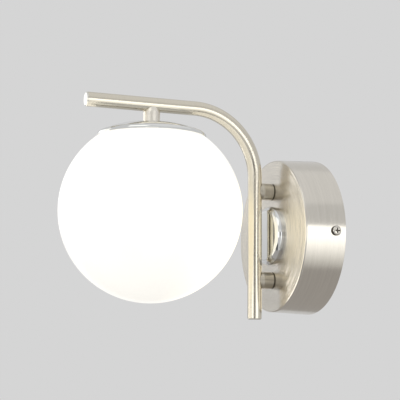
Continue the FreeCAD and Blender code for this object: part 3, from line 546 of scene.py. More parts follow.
# The second colour is painted shade for the screws' recesses and rims.
NICKEL_SCREW = ScrewMetal(
    "satin_nickel_screw", "satin_nickel", (0.74, 0.71, 0.65), (0.10, 0.09, 0.08), roughness=0.26,
    crown=0.0671)
ZINC = PlatedSteel("zinc_steel", "zinc_steel", (0.66, 0.69, 0.74), (0.60, 0.60, 0.55), roughness=0.3)
BRASS = PlatedSteel("brass", "brass", (0.83, 0.66, 0.36), (0.74, 0.56, 0.28), roughness=0.24)
GALLERY_ZINC = PlatedSteel(
    "gallery_zinc", "zinc_steel", (0.80, 0.81, 0.82), (0.74, 0.75, 0.75), roughness=0.3)
SOCKET_METAL = PlatedSteel(
    "socket_brass", "lamp_metal", (0.83, 0.66, 0.36), (0.74, 0.56, 0.28), roughness=0.24)
ALUMINIUM = PlatedSteel(
    "ring_aluminium", "ring_aluminium", (0.82, 0.83, 0.84), (0.76, 0.77, 0.78), roughness=0.3)
LAMP_METAL = PlatedSteel(
    "lamp_metal", "lamp_metal", (0.80, 0.80, 0.81), (0.72, 0.72, 0.72), roughness=0.24)
# The last glow is painted bounce light from the nickel on the globe's wall side.
OPAL = LitOpal(
    "opal_glass", "opal_glass", (0.93, 0.925, 0.90), glow=(0.45, 0.44, 0.405),
    edge_glow=(0.43, 0.41, 0.37), painted_bounce=(0.80, 0.74, 0.58), middle=16.03, reach=75.0, roughness=0.2)
LAMP_OPAL = LitOpal(
    "lamp_opal", "lamp_opal", (0.93, 0.93, 0.92), glow=(0.62, 0.61, 0.57),
    edge_glow=(0.50, 0.49, 0.45), painted_bounce=(0.62, 0.61, 0.57), middle=3.7, reach=24.0, roughness=0.35)
SILICONE = Moulded(
    "silicone", "silicone", (0.80, 0.80, 0.79), (0.74, 0.74, 0.72), roughness=0.5, grain=1800.0)
NYLON = Moulded(
    "block_nylon", "block_nylon", (0.86, 0.86, 0.84), (0.80, 0.80, 0.77), roughness=0.42, grain=2200.0)
HOLDER = Moulded(
    "holder_plastic", "holder_plastic", (0.88, 0.87, 0.83), (0.84, 0.83, 0.79), roughness=0.36,
    grain=1900.0)
LAMP_PLASTIC = Moulded(
    "lamp_plastic", "lamp_plastic", (0.90, 0.90, 0.89), (0.86, 0.86, 0.85), roughness=0.38, grain=2000.0)
CERAMIC = Moulded(
    "ceramic", "ceramic", (0.87, 0.85, 0.80), (0.80, 0.77, 0.71), roughness=0.3, grain=3200.0,
    relief=0.00003)
TIP_GLASS = Moulded(
    "lamp_tip_glass", "lamp_metal", (0.03, 0.03, 0.035), (0.05, 0.05, 0.055), roughness=0.2, grain=900.0,
    relief=0.00001)
SLEEVE = WovenSleeve(
    "lead_sleeve", "lead_sleeve", (0.86, 0.84, 0.78), (0.55, 0.52, 0.45), threads=9000.0)


# Shapes


class Direction(Enum):
    """The way a turned piece's local height points; each value holds the rows of its rotation."""

    UP = ((1, 0, 0), (0, 1, 0), (0, 0, 1))
    DOWN = ((1, 0, 0), (0, -1, 0), (0, 0, -1))
    OUT = ((1, 0, 0), (0, 0, -1), (0, 1, 0))
    RIGHT = ((0, 0, 1), (0, 1, 0), (-1, 0, 0))
    LEFT = ((0, 0, -1), (0, 1, 0), (1, 0, 0))


@dataclass(frozen=True)
class Axis:
    """Where a turned piece stands: the point at height 0 and the way its height points."""

    origin: tuple[float, float, float]
    direction: Direction

    def stand(self, points: np.ndarray) -> np.ndarray:
        """Turn and move local points into the frame."""
        return points @ np.array(self.direction.value, float).T + np.array(self.origin, float)


LOCAL = Axis((0, 0, 0), Direction.UP)


class ThreadForm(Enum):
    """The section of a screw thread."""

    VEE = "vee"
    ROUND = "round"


@dataclass(frozen=True)
class Thread:
    """A helical groove between two heights of a turned piece."""

    pitch: float
    depth: float
    low: float
    high: float
    form: ThreadForm = ThreadForm.VEE

    def offset(self, height: np.ndarray, turn: np.ndarray) -> np.ndarray:
        """Work out the groove's depth.

        A wave of height / pitch - turn / full turn goes from 0 at a crest to -depth at a
        root: a triangle for a vee, a cosine for a round thread. It fades in and out over
        half a pitch at the ends.

        Args:
            height: Heights of the rows.
            turn: Angles of the columns.

        Returns:
            The change of radius, negative into the piece.
        """
        phase = height / self.pitch - turn / (2 * math.pi)
        if self.form is ThreadForm.ROUND:
            wave = 0.5 - 0.5 * np.cos(2 * math.pi * phase)
        else:
            wave = 1 - np.abs(2 * (phase - np.floor(phase)) - 1)
        fade = np.clip(np.minimum(height - self.low, self.high - height) * 2 / self.pitch, 0, 1)
        return -self.depth * wave * fade


def unit(vectors: np.ndarray) -> np.ndarray:
    """Return vectors at length 1."""
    return vectors / np.maximum(np.linalg.norm(vectors, axis=-1, keepdims=True), TINY)


def rounded(corners: Sequence[Sequence[float]], radii: Sequence[float], steps: int = 9) -> np.ndarray:
    """Draw a section through corners, each one eased by a tangent arc.

    With unit runs u into and v out of a corner and the turn t between them, an arc of
    radius r has its centre r / cos(t / 2) from the corner along v - u, and sweeps the
    turn t about it. A guard row close to each end of an arc keeps the flat beside it flat.

    Args:
        corners: Radius and height of each corner.
        radii: Arc radius at each inner corner; 0 keeps it sharp.
        steps: Points in an arc.

    Returns:
        The section as rows of radius and height.
    """
    farthest_guard, guard_share, same_point = 0.2, 0.4, 1e-4
    points = np.asarray(corners, float)
    run = unit(np.diff(points, axis=0))
    u, v = run[:-1], run[1:]
    radius = np.asarray(radii, float)[:, None]
    turn = np.arccos(np.clip((u * v).sum(1, keepdims=True), -1, 1))
    inward, along = unit(v - u), unit(u + v)
    centre = points[1:-1] + inward * radius / np.cos(turn / 2)
    sweep = turn[:, None] * np.linspace(-0.5, 0.5, steps)[None, :, None]
    spoke = along[:, None] * np.sin(sweep) - inward[:, None] * np.cos(sweep)
    arc = centre[:, None] + radius[:, None] * spoke
    guard = np.minimum(farthest_guard, guard_share * radius)
    before, after = arc[:, :1] - (u * guard)[:, None], arc[:, -1:] + (v * guard)[:, None]
    rows = np.concatenate([before, arc, after], axis=1)
    section = np.concatenate([points[:1], rows.reshape(-1, 2), points[-1:]])
    apart = np.linalg.norm(np.diff(section, axis=0), axis=1) > same_point
    return section[np.concatenate([[True], apart])]


def divided(section: np.ndarray, spacing: float) -> np.ndarray:
    """Add rows to a section at even steps of its length, keeping its own rows.

    Args:
        section: Rows of radius and height.
        spacing: Length of a step.

    Returns:
        The section with the rows added.
    """
    same_row = 1e-3
    length = np.concatenate([[0.0], np.cumsum(np.linalg.norm(np.diff(section, axis=0), axis=1))])
    stops = np.union1d(length, np.arange(0.0, length[-1], spacing))
    stops = stops[np.concatenate([[True], np.diff(stops) > same_row])]
    return np.stack([np.interp(stops, length, section[:, part]) for part in range(2)], axis=1)


def eased(corners: Sequence[Sequence[float]], radii: Sequence[float], spacing: float, steps: int = 9,
          loop: bool = False) -> np.ndarray:
    """Draw a section through corners with tangent arcs, and add rows at even steps.

    Args:
        corners: Radius and height of each corner.
        radii: Arc radius at each inner corner; 0 keeps it sharp.
        spacing: Length of a step between rows.
        steps: Points in an arc.
        loop: True if the section ends where it starts; its last row is then left out.

    Returns:
        The section as rows of radius and height.
    """
    section = divided(rounded(corners, radii, steps), spacing)
    return section[:-1] if loop else section


def ball_run(centre: float, radius: float, start: float, end: float, count: int) -> np.ndarray:
    """Section of a ball: radius * cosine and centre + radius * sine of angles between two limits."""
    angle = np.linspace(start, end, count)
    return np.stack([radius * np.cos(angle), centre + radius * np.sin(angle)], axis=1)


def arc_through(start: Sequence[float], middle: Sequence[float], end: Sequence[float],
                count: int) -> np.ndarray:
    """Section along the arc through three points.

    The centre is where the perpendicular bisectors of the two chords meet.

    Args:
        start: First point, radius and height.
        middle: A point between.
        end: Last point.
        count: Rows along the arc.

    Returns:
        The rows.
    """
    a, b, c = (np.asarray(point, float) for point in (start, middle, end))
    centre = np.linalg.solve(np.stack([b - a, c - b]), np.array([(b @ b - a @ a) / 2, (c @ c - b @ b) / 2]))
    angles = np.unwrap([math.atan2(*(point - centre)[::-1]) for point in (a, b, c)])
    angle = np.linspace(angles[0], angles[2], count)
    return centre + np.linalg.norm(a - centre) * np.stack([np.cos(angle), np.sin(angle)], axis=1)


def turned(section: np.ndarray, axis: Axis, thread: Optional[Thread] = None, columns: int = COLUMNS,
           cut: Optional[np.ndarray] = None) -> np.ndarray:
    """Turn a section round an axis: point = (radius * cos, radius * sin, height) of each angle.

    Args:
        section: Rows of radius and height.
        axis: Where the piece stands.
        thread: A groove cut into the rows between its two heights.
        columns: Points round the piece.
        cut: Which of those rows the thread cuts; by default all.

    Returns:
        A grid of points, rows by columns.
    """
    turn = np.linspace(0, 2 * math.pi, columns, endpoint=False)[None, :]
    radius = section[:, :1] + 0 * turn
    height = section[:, 1:] + 0 * turn
    if thread is not None:
        threaded = np.ones(len(section)) if cut is None else cut
        radius = radius + thread.offset(height, turn) * threaded[:, None]
    return axis.stand(np.stack([radius * np.cos(turn), radius * np.sin(turn), height], axis=2))


def plainness(grid: np.ndarray) -> np.ndarray:
    """Measure how flat a grid is along its rows.

    The turn between the runs before and after a point, over the mean length of the two,
    is the curvature k per millimetre; with s the soft curvature the measure is
    1 / (1 + (k / s)^2).

    Args:
        grid: Points, rows by columns.

    Returns:
        A number from 0 on tight edges to 1 on flats, at each point.
    """
    soft = 0.2
    run = np.diff(grid, axis=0)
    length = np.linalg.norm(run, axis=2)
    way = unit(run)
    turn = np.arccos(np.clip((way[1:] * way[:-1]).sum(2), -1, 1))
    curvature = np.pad(turn * 2 / (length[1:] + length[:-1]), ((1, 1), (0, 0)), "edge")
    return 1 / (1 + (curvature / soft) ** 2)


def mesh_of(name: str, points: np.ndarray, faces: np.ndarray) -> bpy.types.Mesh:
    """Put whole arrays into a mesh.

    Args:
        name: The mesh's name.
        points: Points in metres.
        faces: Four points of each face.

    Returns:
        The mesh.
    """
    mesh = bpy.data.meshes.new(name)
    mesh.vertices.add(len(points))
    mesh.vertices.foreach_set("co", points.astype(np.float32).ravel())
    mesh.loops.add(faces.size)
    mesh.loops.foreach_set("vertex_index", faces.astype(np.int32).ravel())
    mesh.polygons.add(len(faces))
    mesh.polygons.foreach_set("loop_start", np.arange(0, faces.size, faces.shape[1], dtype=np.int32))
    mesh.update(calc_edges=True)
    return mesh


def placed(name: str, thing: bpy.types.ID) -> bpy.types.Object:
    """Put a mesh, lamp or camera into the scene.

    Args:
        name: The object's name.
        thing: What it holds.

    Returns:
        The object.
    """
    made = bpy.data.objects.new(name, thing)
    bpy.context.scene.collection.objects.link(made)
    return made


class Skin:
    """Grids of points gathered into one mesh piece."""

    def __init__(self) -> None:
        """Start with no grids."""
        self.points: list[np.ndarray] = []
        self.faces: list[np.ndarray] = []
        self.lines: list[np.ndarray] = []
        self.across: list[np.ndarray] = []

    def add(self, grid: np.ndarray, loop: bool = False, lines: Optional[np.ndarray] = None,
            brush: Optional[np.ndarray] = None) -> "Skin":
        """Add a grid that closes on itself along its columns.

        The direction across the brushed lines is that of the rows. Its length is the
        grid's plainness times the depth of the lines.

        Args:
            grid: Points, rows by columns, in millimetres.
            loop: True if the last row joins the first.
            lines: Distance across the brushed lines; by default the length along the rows.
            brush: How deep the lines are on each row; by default 1.

        Returns:
            The skin itself.
        """
        rows, columns = grid.shape[:2]
        if lines is None:
            step = np.linalg.norm(np.diff(grid, axis=0), axis=2)
            lines = np.concatenate([np.zeros_like(step[:1]), np.cumsum(step, axis=0)])
        across = np.roll(grid, -1, 0) - np.roll(grid, 1, 0)
        if not loop:
            across[0], across[-1] = grid[1] - grid[0], grid[-1] - grid[-2]
        depth = np.ones(rows) if brush is None else brush
        across = unit(across) * plainness(grid)[..., None] * depth[:, None, None]
        i, j = np.meshgrid(np.arange(rows if loop else rows - 1), np.arange(columns), indexing="ij")
        below, beside = (i + 1) % rows, (j + 1) % columns
        corner = np.stack([i * columns + j, i * columns + beside, below * columns + beside,
                           below * columns + j], axis=-1)
        self.faces.append(corner.reshape(-1, 4) + sum(map(len, self.points)))
        self.points.append(grid.reshape(-1, 3) * MM)
        self.lines.append(lines.ravel() * MM)
        self.across.append(across.reshape(-1, 3))
        return self

    def mesh(self, name: str, sharp: float) -> bpy.types.Mesh:
        """Make the mesh, with its seams and poles joined and its faces outward.

        Args:
            name: The mesh's name.
            sharp: Edges that turn by more degrees than this stay crisp.

        Returns:
            The mesh.
        """
        mesh = mesh_of(name, np.concatenate(self.points), np.concatenate(self.faces))
        for label, kind, field, parts in (("lines", "FLOAT", "value", self.lines),
                                          ("across", "FLOAT_VECTOR", "vector", self.across)):
            values = np.concatenate(parts).astype(np.float32).ravel()
            mesh.attributes.new(label, kind, "POINT").data.foreach_set(field, values)
        closed = bmesh.new()
        closed.from_mesh(mesh)
        bmesh.ops.remove_doubles(closed, verts=closed.verts, dist=WELD)
        bmesh.ops.dissolve_degenerate(closed, edges=closed.edges, dist=SLIVER)
        bmesh.ops.recalc_face_normals(closed, faces=closed.faces)
        closed.to_mesh(mesh)
        closed.free()
        mesh.polygons.foreach_set("use_smooth", np.ones(len(mesh.polygons), bool))
        mesh.set_sharp_from_angle(angle=math.radians(sharp))
        return mesh

    def build(self, name: str, body: str, finish: Finish, *stands_for: str, sharp: float = CRISP) -> None:
        """Make the piece and let it ride on its body.

        Args:
            name: The piece's name.
            body: The body that it moves with.
            finish: Its finish.
            stands_for: CAD nodes that it replaces.
            sharp: Edges that turn by more degrees than this stay crisp.
        """
        mesh = self.mesh(name, sharp)
        mesh.materials.append(material_of(finish))
        piece = placed(name, mesh)
        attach(piece, body)
        if stands_for:
            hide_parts(*stands_for)
        LOG.info("%s on %s: %d faces", name, body, len(mesh.polygons))


@dataclass(frozen=True)
class Envelope:
    """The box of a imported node, in millimetres; near and far are distances from the wall."""

    left: float
    far: float
    foot: float
    right: float
    near: float
    top: float

    @classmethod
    def of(cls, node: str) -> "Envelope":
        """Read a node's box from the frame."""
        low, high = (np.array(corner, float) / MM * (1, -1, 1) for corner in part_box(node))
        return cls(*map(float, (*low, *high)))

    @property
    def radius(self) -> float:
        """Half the box's width."""
        return (self.right - self.left) / 2

    @property
    def level(self) -> float:
        """Height of the box's middle."""
        return (self.foot + self.top) / 2

    @property
    def upright(self) -> Axis:
        """The upright axis through the box's middle."""
        return Axis((0, -(self.near + self.far) / 2, 0), Direction.UP)


@dataclass(frozen=True)
class CopedPost:
    """A bored post whose tapered end takes in the tube that crosses it along local Y."""

    radius: float
    bore: float
    foot: float
    axis: float
    saddle: float = 6.1
    short: float = 2.4
    taper: float = 1.5
    taper_length: float = 4.0
    bevel: float = 0.4
    bevel_edge: float = 0.05

    def grid(self) -> np.ndarray:
        """Work out the post's surface as a closed loop of rows.

        On the taper the radius is p + k * u, with u the distance below the tube's axis. It
        meets the saddle where u^2 + cos^2 * (p + k * u)^2 = saddle^2, which is solved for
        u. From there the rows cross the end, where u is sqrt(saddle^2 - (radius * cos)^2),
        and go down the bore. Rows crowd at each edge, which keeps it crisp.

        Returns:
            Local points, rows by columns.
        """
        turn = np.linspace(0, 2 * math.pi, COLUMNS, endpoint=False)[None, :]
        cosine = np.cos(turn)
        start = self.axis - self.short - self.taper_length
        corners = [(self.bore, self.foot), (self.radius - self.bevel, self.foot),
                   (self.radius, self.foot + self.bevel), (self.radius, start)]
        rows = eased(corners, [self.bevel_edge] * 2, 1.0, steps=3)
        slope = self.taper / self.taper_length
        at_axis = self.radius - slope * (self.short + self.taper_length)
        square = cosine ** 2
        half = at_axis * slope * square
        whole = 1 + slope ** 2 * square
        below = (np.sqrt(half ** 2 - whole * (at_axis ** 2 * square - self.saddle ** 2)) - half) / whole
        rise = np.concatenate([[0.02], np.linspace(0.08, 0.92, 10), [0.98, 1.0]])[:, None]
        taper_height = start + rise * (self.axis - below - start)
        taper_radius = self.radius - slope * (taper_height - start)
        across = np.array([0.02, 0.25, 0.5, 0.75, 0.98, 1.0])[:, None]
        end_radius = taper_radius[-1:] + across * (self.bore - taper_radius[-1:])
        end_height = self.axis - np.sqrt(self.saddle ** 2 - (end_radius * cosine) ** 2)
        fall = np.linspace(0.02, 0.98, 9)[:, None]
        bore_height = end_height[-1:] + fall * (self.foot - end_height[-1:])
        radius = np.concatenate([rows[:, :1] + 0 * turn, taper_radius, end_radius,
                                 self.bore + 0 * bore_height])
        height = np.concatenate([rows[:, 1:] + 0 * turn, taper_height, end_height, bore_height])
        return np.stack([radius * cosine, radius * np.sin(turn), height], axis=2)


@dataclass(frozen=True)
class CrossScrew:
    """A screw with a crowned head and a cross recess; its seat is at height 0."""

    head_radius: float = 4.0
    head_height: float = 2.4
    head_edge: float = 0.96
    crown_flat: float = 1.2
    crown_middle: tuple[float, float] = (3.18, 1.98)
    crown_rows: int = 14
    shank_radius: float = 2.0
    length: float = 10.0
    pitch: float = 0.7
    thread_depth: float = 0.32
    thread_low: float = -9.8
    thread_high: float = -1.4
    cross_reach: float = 2.1
    cross_half_width: float = 0.5
    cross_depth: float = 1.3
    cross_slope: float = 0.2

    def grid(self) -> np.ndarray:
        """Turn the screw and press the cross into its head.

        Inside the cross the crown is lowered by the recess depth; each arm's edge is a
        ramp as wide as the slope, so the cross is the greater of two products of ramps.

        Returns:
            Local points, rows by columns.
        """
        crown = arc_through((self.crown_flat, self.head_height), self.crown_middle,
                            (self.head_radius, self.head_edge), self.crown_rows)
        corners = [(0, self.head_height), *crown, (self.head_radius, 0), (self.shank_radius, 0),
                   (self.shank_radius, -self.length), (0, -self.length)]
        section = eased(corners, [0] * self.crown_rows + [0.15, 0.2, 0.5], 0.12)
        thread = Thread(self.pitch, self.thread_depth, self.thread_low, self.thread_high)
        grid = turned(section, LOCAL, thread, 96)
        reach, half, slope = self.cross_reach, self.cross_half_width, self.cross_slope
        x, y = np.abs(grid[..., 0]), np.abs(grid[..., 1])
        ramps = [np.clip((limit - part) / slope + 0.5, 0, 1) for part, limit in
                 ((x, reach), (y, half), (y, reach), (x, half))]
        cross = np.maximum(ramps[0] * ramps[1], ramps[2] * ramps[3])
        on_head = np.clip((grid[..., 2] - self.head_edge) / slope, 0, 1)
        grid[..., 2] -= self.cross_depth * cross * on_head
        return grid


@dataclass(frozen=True)
class Nipple:
    """A hollow nipple with a fine thread along its whole outside."""

    radius: float
    foot: float
    top: float
    bore: float = 3.5
    pitch: float = 1.0
    thread_depth: float = 0.5

    def grid(self) -> np.ndarray:
        """Turn the nipple as a closed loop of rows, from the middle of its bore and back.

        Returns:
            Local points, rows by columns.
        """
        middle = (self.bore, (self.foot + self.top) / 2)
        corners = [middle, (self.bore, self.foot), (self.radius, self.foot), (self.radius, self.top),
                   (self.bore, self.top), middle]
        section = eased(corners, [0.2, 0.4, 0.4, 0.2], 0.14, steps=5, loop=True)
        return turned(section, LOCAL, Thread(self.pitch, self.thread_depth, self.foot, self.top), 64)


# Sub-assemblies


@dataclass
class Canopy:
    """The drawn cup on the wall, with its round cover, side screws, posts and nipples."""

    sheet: float = 1.2
    edge: float = 1.5
    flare: float = 1.5
    face_brush: float = 3.4
    cover_sheet: float = 1.2
    cover_edge: float = 5.0
    stud_radius: float = 2.5
    stud_foot: float = 27.5
    stud_pitch: float = 0.8
    stud_thread_depth: float = 0.4
    post_bore: float = 4.0
    tube_from_wall: float = 51.0
    screw_from_wall: float = 9.0

    def __post_init__(self) -> None:
        """Read the cup's envelope from the frame."""
        self.cup = Envelope.of("canopy")
        self.depth = self.cup.far
        self.axis = Axis((0, 0, 0), Direction.OUT)

    def shell(self) -> None:
        """Turn the cup: face, rounded edge, slightly conical wall, and the same inside."""
        back, depth, sheet = self.cup.radius, self.depth, self.sheet
        face = back - self.flare
        corners = [(0, depth), (face, depth), (back, 0), (back - sheet, 0), (face - sheet, depth - sheet),
                   (0, depth - sheet)]
        section = eased(corners, [self.edge, 0.25, 0.25, 0.5], 3.0)
        on_face = (section[:, 1] > depth - ON_WALL) & (section[:, 0] < face - self.edge)
        brush = np.where(on_face, self.face_brush, 1.0)
        Skin().add(turned(section, self.axis, columns=256), brush=brush).build(
            "canopy_shell", "fixture", SATIN_NICKEL, "canopy")

    def cover(self) -> None:
        """Turn the pressed cover with its rolled edge, and its threaded stud."""
        cover = Envelope.of("centre_cover")
        face, radius, sheet, foot = cover.far, cover.radius, self.cover_sheet, self.stud_foot
        corners = [(0, face), (radius, face), (radius, self.depth), (radius - sheet, self.depth),
                   (radius - sheet, face - sheet), (0, face - sheet)]
        disc = eased(corners, [self.cover_edge, 0.15, 0.15, self.cover_edge - sheet], 2.0, steps=17)
        corners = [(0, face - sheet), (self.stud_radius, face - sheet), (self.stud_radius, foot), (0, foot)]
        stud = eased(corners, [0, 0.4], 0.12)
        thread = Thread(self.stud_pitch, self.stud_thread_depth, foot, self.depth)
        skin = Skin().add(turned(disc, self.axis, columns=192)).add(turned(stud, self.axis, thread, 48))
        skin.build("centre_cover_disc", "fixture", CHROME, "centre_cover")

    def screws(self) -> None:
        """Set a screw in each ear of the bracket, from the right and from the left."""
        screw = CrossScrew()
        seat = Envelope.of("side_screws").radius - screw.head_height
        skin = Skin()
        for side, direction in ((1, Direction.RIGHT), (-1, Direction.LEFT)):
            skin.add(Axis((side * seat, -self.screw_from_wall, 0), direction).stand(screw.grid()))
        skin.build("side_screw_heads", "fixture", NICKEL_SCREW, "side_screws", sharp=50.0)

    def posts(self) -> None:
        """Cope both posts to the upright tube, and thread the nipples that hold them."""
        for node in ("upper_post", "lower_post"):
            box = Envelope.of(node)
            post = CopedPost(box.radius, self.post_bore, self.depth, self.tube_from_wall)
            grid = Axis((0, 0, box.level), Direction.OUT).stand(post.grid())
            Skin().add(grid, True).build(node + "_turned", "fixture", NICKEL_POST_SHADED, node, sharp=18.0)
        box = Envelope.of("post_nipples")
        nipple = Nipple(box.radius, box.near, box.far)
        skin = Skin()
        for side in (-1, 1):
            axis = Axis((0, 0, side * (box.top - box.radius)), Direction.OUT)
            skin.add(axis.stand(nipple.grid()), True)
        skin.build("post_nipples_threaded", "fixture", ZINC, "post_nipples", sharp=60.0)

    def build(self) -> None:
        """Make every piece of the canopy."""
        self.shell()
        self.cover()
        self.screws()
        self.posts()


@dataclass
class Arm:
    """The bent tube with its two end caps, and the neck that carries the globe cap."""

    radius: float = 6.0
    wall: float = 1.2
    from_wall: float = 51.0
    bar_height: float = 104.0
    bend: float = 55.0
    cap_length: float = 1.2
    cap_bevel: float = 0.9
    spigot_length: float = 6.0
    spigot_gap: float = 0.1
    neck_bore: float = 4.0

    def tube(self) -> None:
        """Carry a ring along the upright, the bend and the bar.

        The line is straight, then a quarter circle of the bend's radius, then straight.
        Its direction and the X axis span each ring. Rows go out along the outside and
        come back along the bore.
        """
        columns, bend_rows, straight_rows, edge, step = 96, 73, 60, 0.15, 3.0
        box = Envelope.of("arm_tube")
        rise = self.bar_height - self.bend - box.foot
        run = box.far - self.from_wall - self.bend
        quarter = self.bend * math.pi / 2
        total = rise + quarter + run
        straight = np.linspace(step, total - step, straight_rows)
        stops = np.union1d(np.linspace(rise, rise + quarter, bend_rows),
                           np.concatenate([[0.0, edge], straight, [total - edge, total]]))
        angle = np.clip((stops - rise) / self.bend, 0, math.pi / 2)
        low = np.minimum(stops, rise)
        far = np.maximum(stops - rise - quarter, 0)
        line = np.stack([0 * stops, -self.from_wall - self.bend * (1 - np.cos(angle)) - far,
                         box.foot + low + self.bend * np.sin(angle)], axis=1)
        out = np.stack([0 * stops, np.cos(angle), np.sin(angle)], axis=1)
        turn = np.linspace(0, 2 * math.pi, columns, endpoint=False)[None, :, None]
        ring = np.array([1.0, 0, 0]) * np.cos(turn) + out[:, None] * np.sin(turn)
        outside = line[:, None] + self.radius * ring
        inside = line[:, None] + (self.radius - self.wall) * ring
        lines = np.concatenate([stops, stops[::-1] + total])[:, None] + np.zeros((1, columns))
        Skin().add(np.concatenate([outside, inside[::-1]]), True, lines).build(
            "arm_tube_swept", "fixture", NICKEL_TUBE, "arm_tube")

    def end_caps(self) -> None:
        """Turn the two bevelled caps with their spigots."""
        length, bevel, foot = self.cap_length, self.cap_bevel, -self.spigot_length
        spigot = self.radius - self.wall - self.spigot_gap
        corners = [(0, length), (self.radius - bevel, length), (self.radius, length - bevel),
                   (self.radius, 0), (spigot, 0), (spigot, foot), (0, foot)]
        section = eased(corners, [0.2, 0.2, 0.08, 0.05, 0.5], 0.6, steps=7)
        tip, foot = Envelope.of("tip_cap"), Envelope.of("foot_cap")
        places = {"tip_cap": Axis((0, length - tip.far, self.bar_height), Direction.OUT),
                  "foot_cap": Axis((0, -self.from_wall, foot.foot + length), Direction.DOWN)}
        for node, axis in places.items():
            Skin().add(turned(section, axis, columns=96)).build(
                node + "_turned", "fixture", NICKEL_MIRROR, node)

    def neck(self) -> None:
        """Cope the neck to the bar and thread the nipple under it."""
        box, nipple = Envelope.of("neck"), Envelope.of("neck_nipple")
        neck = CopedPost(box.radius, self.neck_bore, box.foot, self.bar_height)
        Skin().add(box.upright.stand(neck.grid()), True).build(
            "neck_turned", "fixture", NICKEL_TURNED_LIT, "neck", sharp=18.0)
        thread = Nipple(nipple.radius, nipple.foot, nipple.top)
        Skin().add(box.upright.stand(thread.grid()), True).build(
            "neck_nipple_threaded", "fixture", ZINC, "neck_nipple", sharp=60.0)

    def build(self) -> None:
        """Make every piece of the arm."""
        self.tube()
        self.end_caps()
        self.neck()


@dataclass
class GlobeCap:
    """The shallow polished dome over the globe, and the threaded gallery under it."""

    sheet: float = 0.8
    sagitta: float = 9.7
    seat_radius: float = 8.5
    edge: float = 3.4
    ball_rows: int = 28
    edge_rows: int = 16
    gallery_sheet: float = 1.2
    thread_pitch: float = 2.4
    thread_depth: float = 0.45
    thread_below_top: float = 1.6
    thread_above_foot: float = 0.4

    def __post_init__(self) -> None:
        """Read the cap's envelope and work out its dome."""
        self.box = Envelope.of("globe_cap")
        self.radius = self.box.radius
        self.dome = (self.radius ** 2 + self.sagitta ** 2) / (2 * self.sagitta)
        self.centre = self.box.top - math.sqrt(self.dome ** 2 - self.seat_radius ** 2)
        self.axis = self.box.upright

    def domed(self, radius: float, dome: float, edge: float, seat: float) -> np.ndarray:
        """Section from the seat over the ball and round the edge to the straight lip.

        The edge's arc touches ball and lip, so its centre lies dome - edge from the ball's
        centre and edge inside the lip.

        Args:
            radius: Radius of the lip.
            dome: Radius of the ball.
            edge: Radius of the rounded edge.
            seat: Height of the flat seat.

        Returns:
            Rows from the seat outward and down.
        """
        level = self.centre + math.sqrt((dome - edge) ** 2 - (radius - edge) ** 2)
        meet = math.atan2(level - self.centre, radius - edge)
        ball = ball_run(self.centre, dome, math.asin((seat - self.centre) / dome), meet, self.ball_rows)
        eased_edge = ball_run(level, edge, meet, 0.0, self.edge_rows)[1:] + (radius - edge, 0)
        return np.concatenate([ball, eased_edge])

    def shell(self) -> None:
        """Turn the dome, its lip cut to follow the globe, and the same inside."""
        foot, seat, inner = self.box.foot, self.box.top, self.radius - self.sheet
        globe = Envelope.of("globe_glass").radius
        rise = math.sqrt(globe ** 2 - inner ** 2) - math.sqrt(globe ** 2 - self.radius ** 2)
        top = self.domed(self.radius, self.dome, self.edge, seat)
        under = self.domed(inner, self.dome - self.sheet, self.edge - self.sheet, seat - self.sheet)
        lip = rounded([top[-1], (self.radius, foot), (inner, foot + rise), under[-1]], [0.12, 0.12], steps=5)
        section = np.concatenate([[(0, seat)], top, lip[1:-1], under[::-1], [(0, seat - self.sheet)]])
        Skin().add(turned(divided(section, spacing=2.0), self.axis, columns=192)).build(
            "globe_cap_dome", "fixture", CHROME, "globe_cap")

    def gallery(self) -> None:
        """Turn the dish and cut the coarse thread that the globe's ring runs on."""
        box = Envelope.of("globe_gallery")
        radius, inner, under = box.radius, box.radius - self.gallery_sheet, box.top - self.gallery_sheet
        corners = [(0, box.top), (radius, box.top), (radius, box.foot), (inner, box.foot), (inner, under),
                   (0, under)]
        section = eased(corners, [1.2, 0.2, 0.2, 0.4], 0.3)
        thread = Thread(self.thread_pitch, self.thread_depth, box.foot + self.thread_above_foot,
                        box.top - self.thread_below_top, ThreadForm.ROUND)
        grid = turned(section, self.axis, thread, cut=section[:, 0] > radius - ON_WALL)
        Skin().add(grid).build("gallery_threaded", "fixture", GALLERY_ZINC, "globe_gallery", sharp=50.0)

    def build(self) -> None:
        """Make every piece of the cap."""
        self.shell()
        self.gallery()


